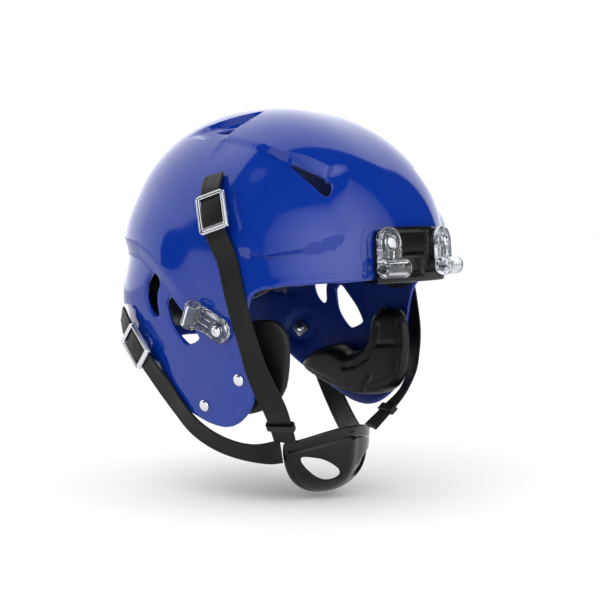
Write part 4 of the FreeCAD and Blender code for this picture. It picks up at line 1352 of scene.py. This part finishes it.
# %% Camera, lamps and floor
AZIMUTH, ELEVATION = math.radians(-50.0), math.radians(3.86)
CAMERA_AT = Vector((-1.0580, -0.9109, 0.1120))
level = math.cos(ELEVATION)
back = Vector((math.sin(AZIMUTH) * level, -math.cos(AZIMUTH) * level, math.sin(ELEVATION)))
right = Vector((math.cos(AZIMUTH), math.sin(AZIMUTH), 0.0))
axes = Matrix((right, back.cross(right), back)).transposed()
camera_data = bpy.data.cameras.new("camera")
camera_data.lens, camera_data.sensor_width = 99.0, 36.0
camera = bpy.data.objects.new("camera", camera_data)
camera.matrix_world = Matrix.Translation(CAMERA_AT) @ axes.to_4x4()
bpy.context.scene.collection.objects.link(camera)
bpy.context.scene.camera = camera


def lamp(name, place, size, power, tint="FFFFFF"):
    """A square soft lamp aimed at the helmet."""
    data = bpy.data.lights.new(name, "AREA")
    data.size, data.energy, data.color = size, power, colour(tint)[:3]
    holder = bpy.data.objects.new(name, data)
    holder.location = place
    holder.rotation_euler = (Vector((0.0, 0.0, 0.04)) - Vector(place)).to_track_quat("-Z", "Y").to_euler()
    bpy.context.scene.collection.objects.link(holder)
    return holder


lamp("key_lamp", (-1.1, -0.2, 1.2), 0.9, 5.0).visible_glossy = False
lamp("front_lamp", (0.3, -1.6, 0.7), 0.9, 4.0).visible_glossy = False


def studio():
    """White surround that lights evenly; glossy surfaces see a dark room with a front and a rear soft box."""
    world = bpy.data.worlds.new("studio")
    world.use_nodes = True
    tree = world.node_tree
    white = tree.nodes["Background"]
    white.inputs["Color"].default_value, white.inputs["Strength"].default_value = colour("FFFFFF"), 1.0
    toward = node(tree, "TexCoord").outputs["Generated"]

    def box(azimuth, height, edge, soft, low, high):
        a = math.radians(azimuth)
        aim = Vector((math.sin(a), -math.cos(a), height)).normalized()
        dot = node(tree, "VectorMath", {"operation": "DOT_PRODUCT"}, _0=toward, _1=tuple(aim))
        facing = dot.outputs["Value"]
        rim = node(tree, "MapRange", Value=facing, From_Min=edge, From_Max=edge + soft).outputs["Result"]
        glow = node(tree, "MapRange", Value=facing, From_Min=edge, From_Max=1.0, To_Min=low, To_Max=high)
        return node(tree, "Math", {"operation": "MULTIPLY"}, _0=rim, _1=glow.outputs["Result"]).outputs[0]

    front = box(-22.0, 0.0, 0.345, 0.02, 0.35, 2.5)
    rear = box(155.0, 0.35, 0.37, 0.02, 1.3, 2.2)
    light = node(tree, "Math", {"operation": "MAXIMUM"}, _0=front, _1=rear).outputs[0]
    room = node(tree, "Math", {"operation": "MAXIMUM"}, _0=light, _1=0.03).outputs[0]
    seen = node(tree, "Background", Color=colour("FFFFFF"), Strength=room)
    glossy = node(tree, "LightPath").outputs["Is Glossy Ray"]
    mix = node(tree, "MixShader", _0=glossy, _1=white.outputs[0], _2=seen.outputs[0])
    tree.links.new(mix.outputs[0], tree.nodes["World Output"].inputs["Surface"])
    return world


bpy.context.scene.world = studio()
bpy.context.scene.view_settings.view_transform = "Standard"

floor_material, floor_tree, floor_surface = finish("studio_floor_matt", "FFFFFF", 0.9, Specular_IOR_Level=0.0)
grain(floor_tree, floor_surface, 20.0, 0.05, 0.2)
floor = made("floor", [(-6000, -6000, 0), (6000, -6000, 0), (6000, 6000, 0), (-6000, 6000, 0)], [(0, 1, 2, 3)],
             [floor_material], body=None)
floor.location.z = CAD_BOX[0][2] - 0.004
print("camera at", tuple(round(v, 3) for v in camera.location))

# %% The end
bpy.context.view_layer.update()
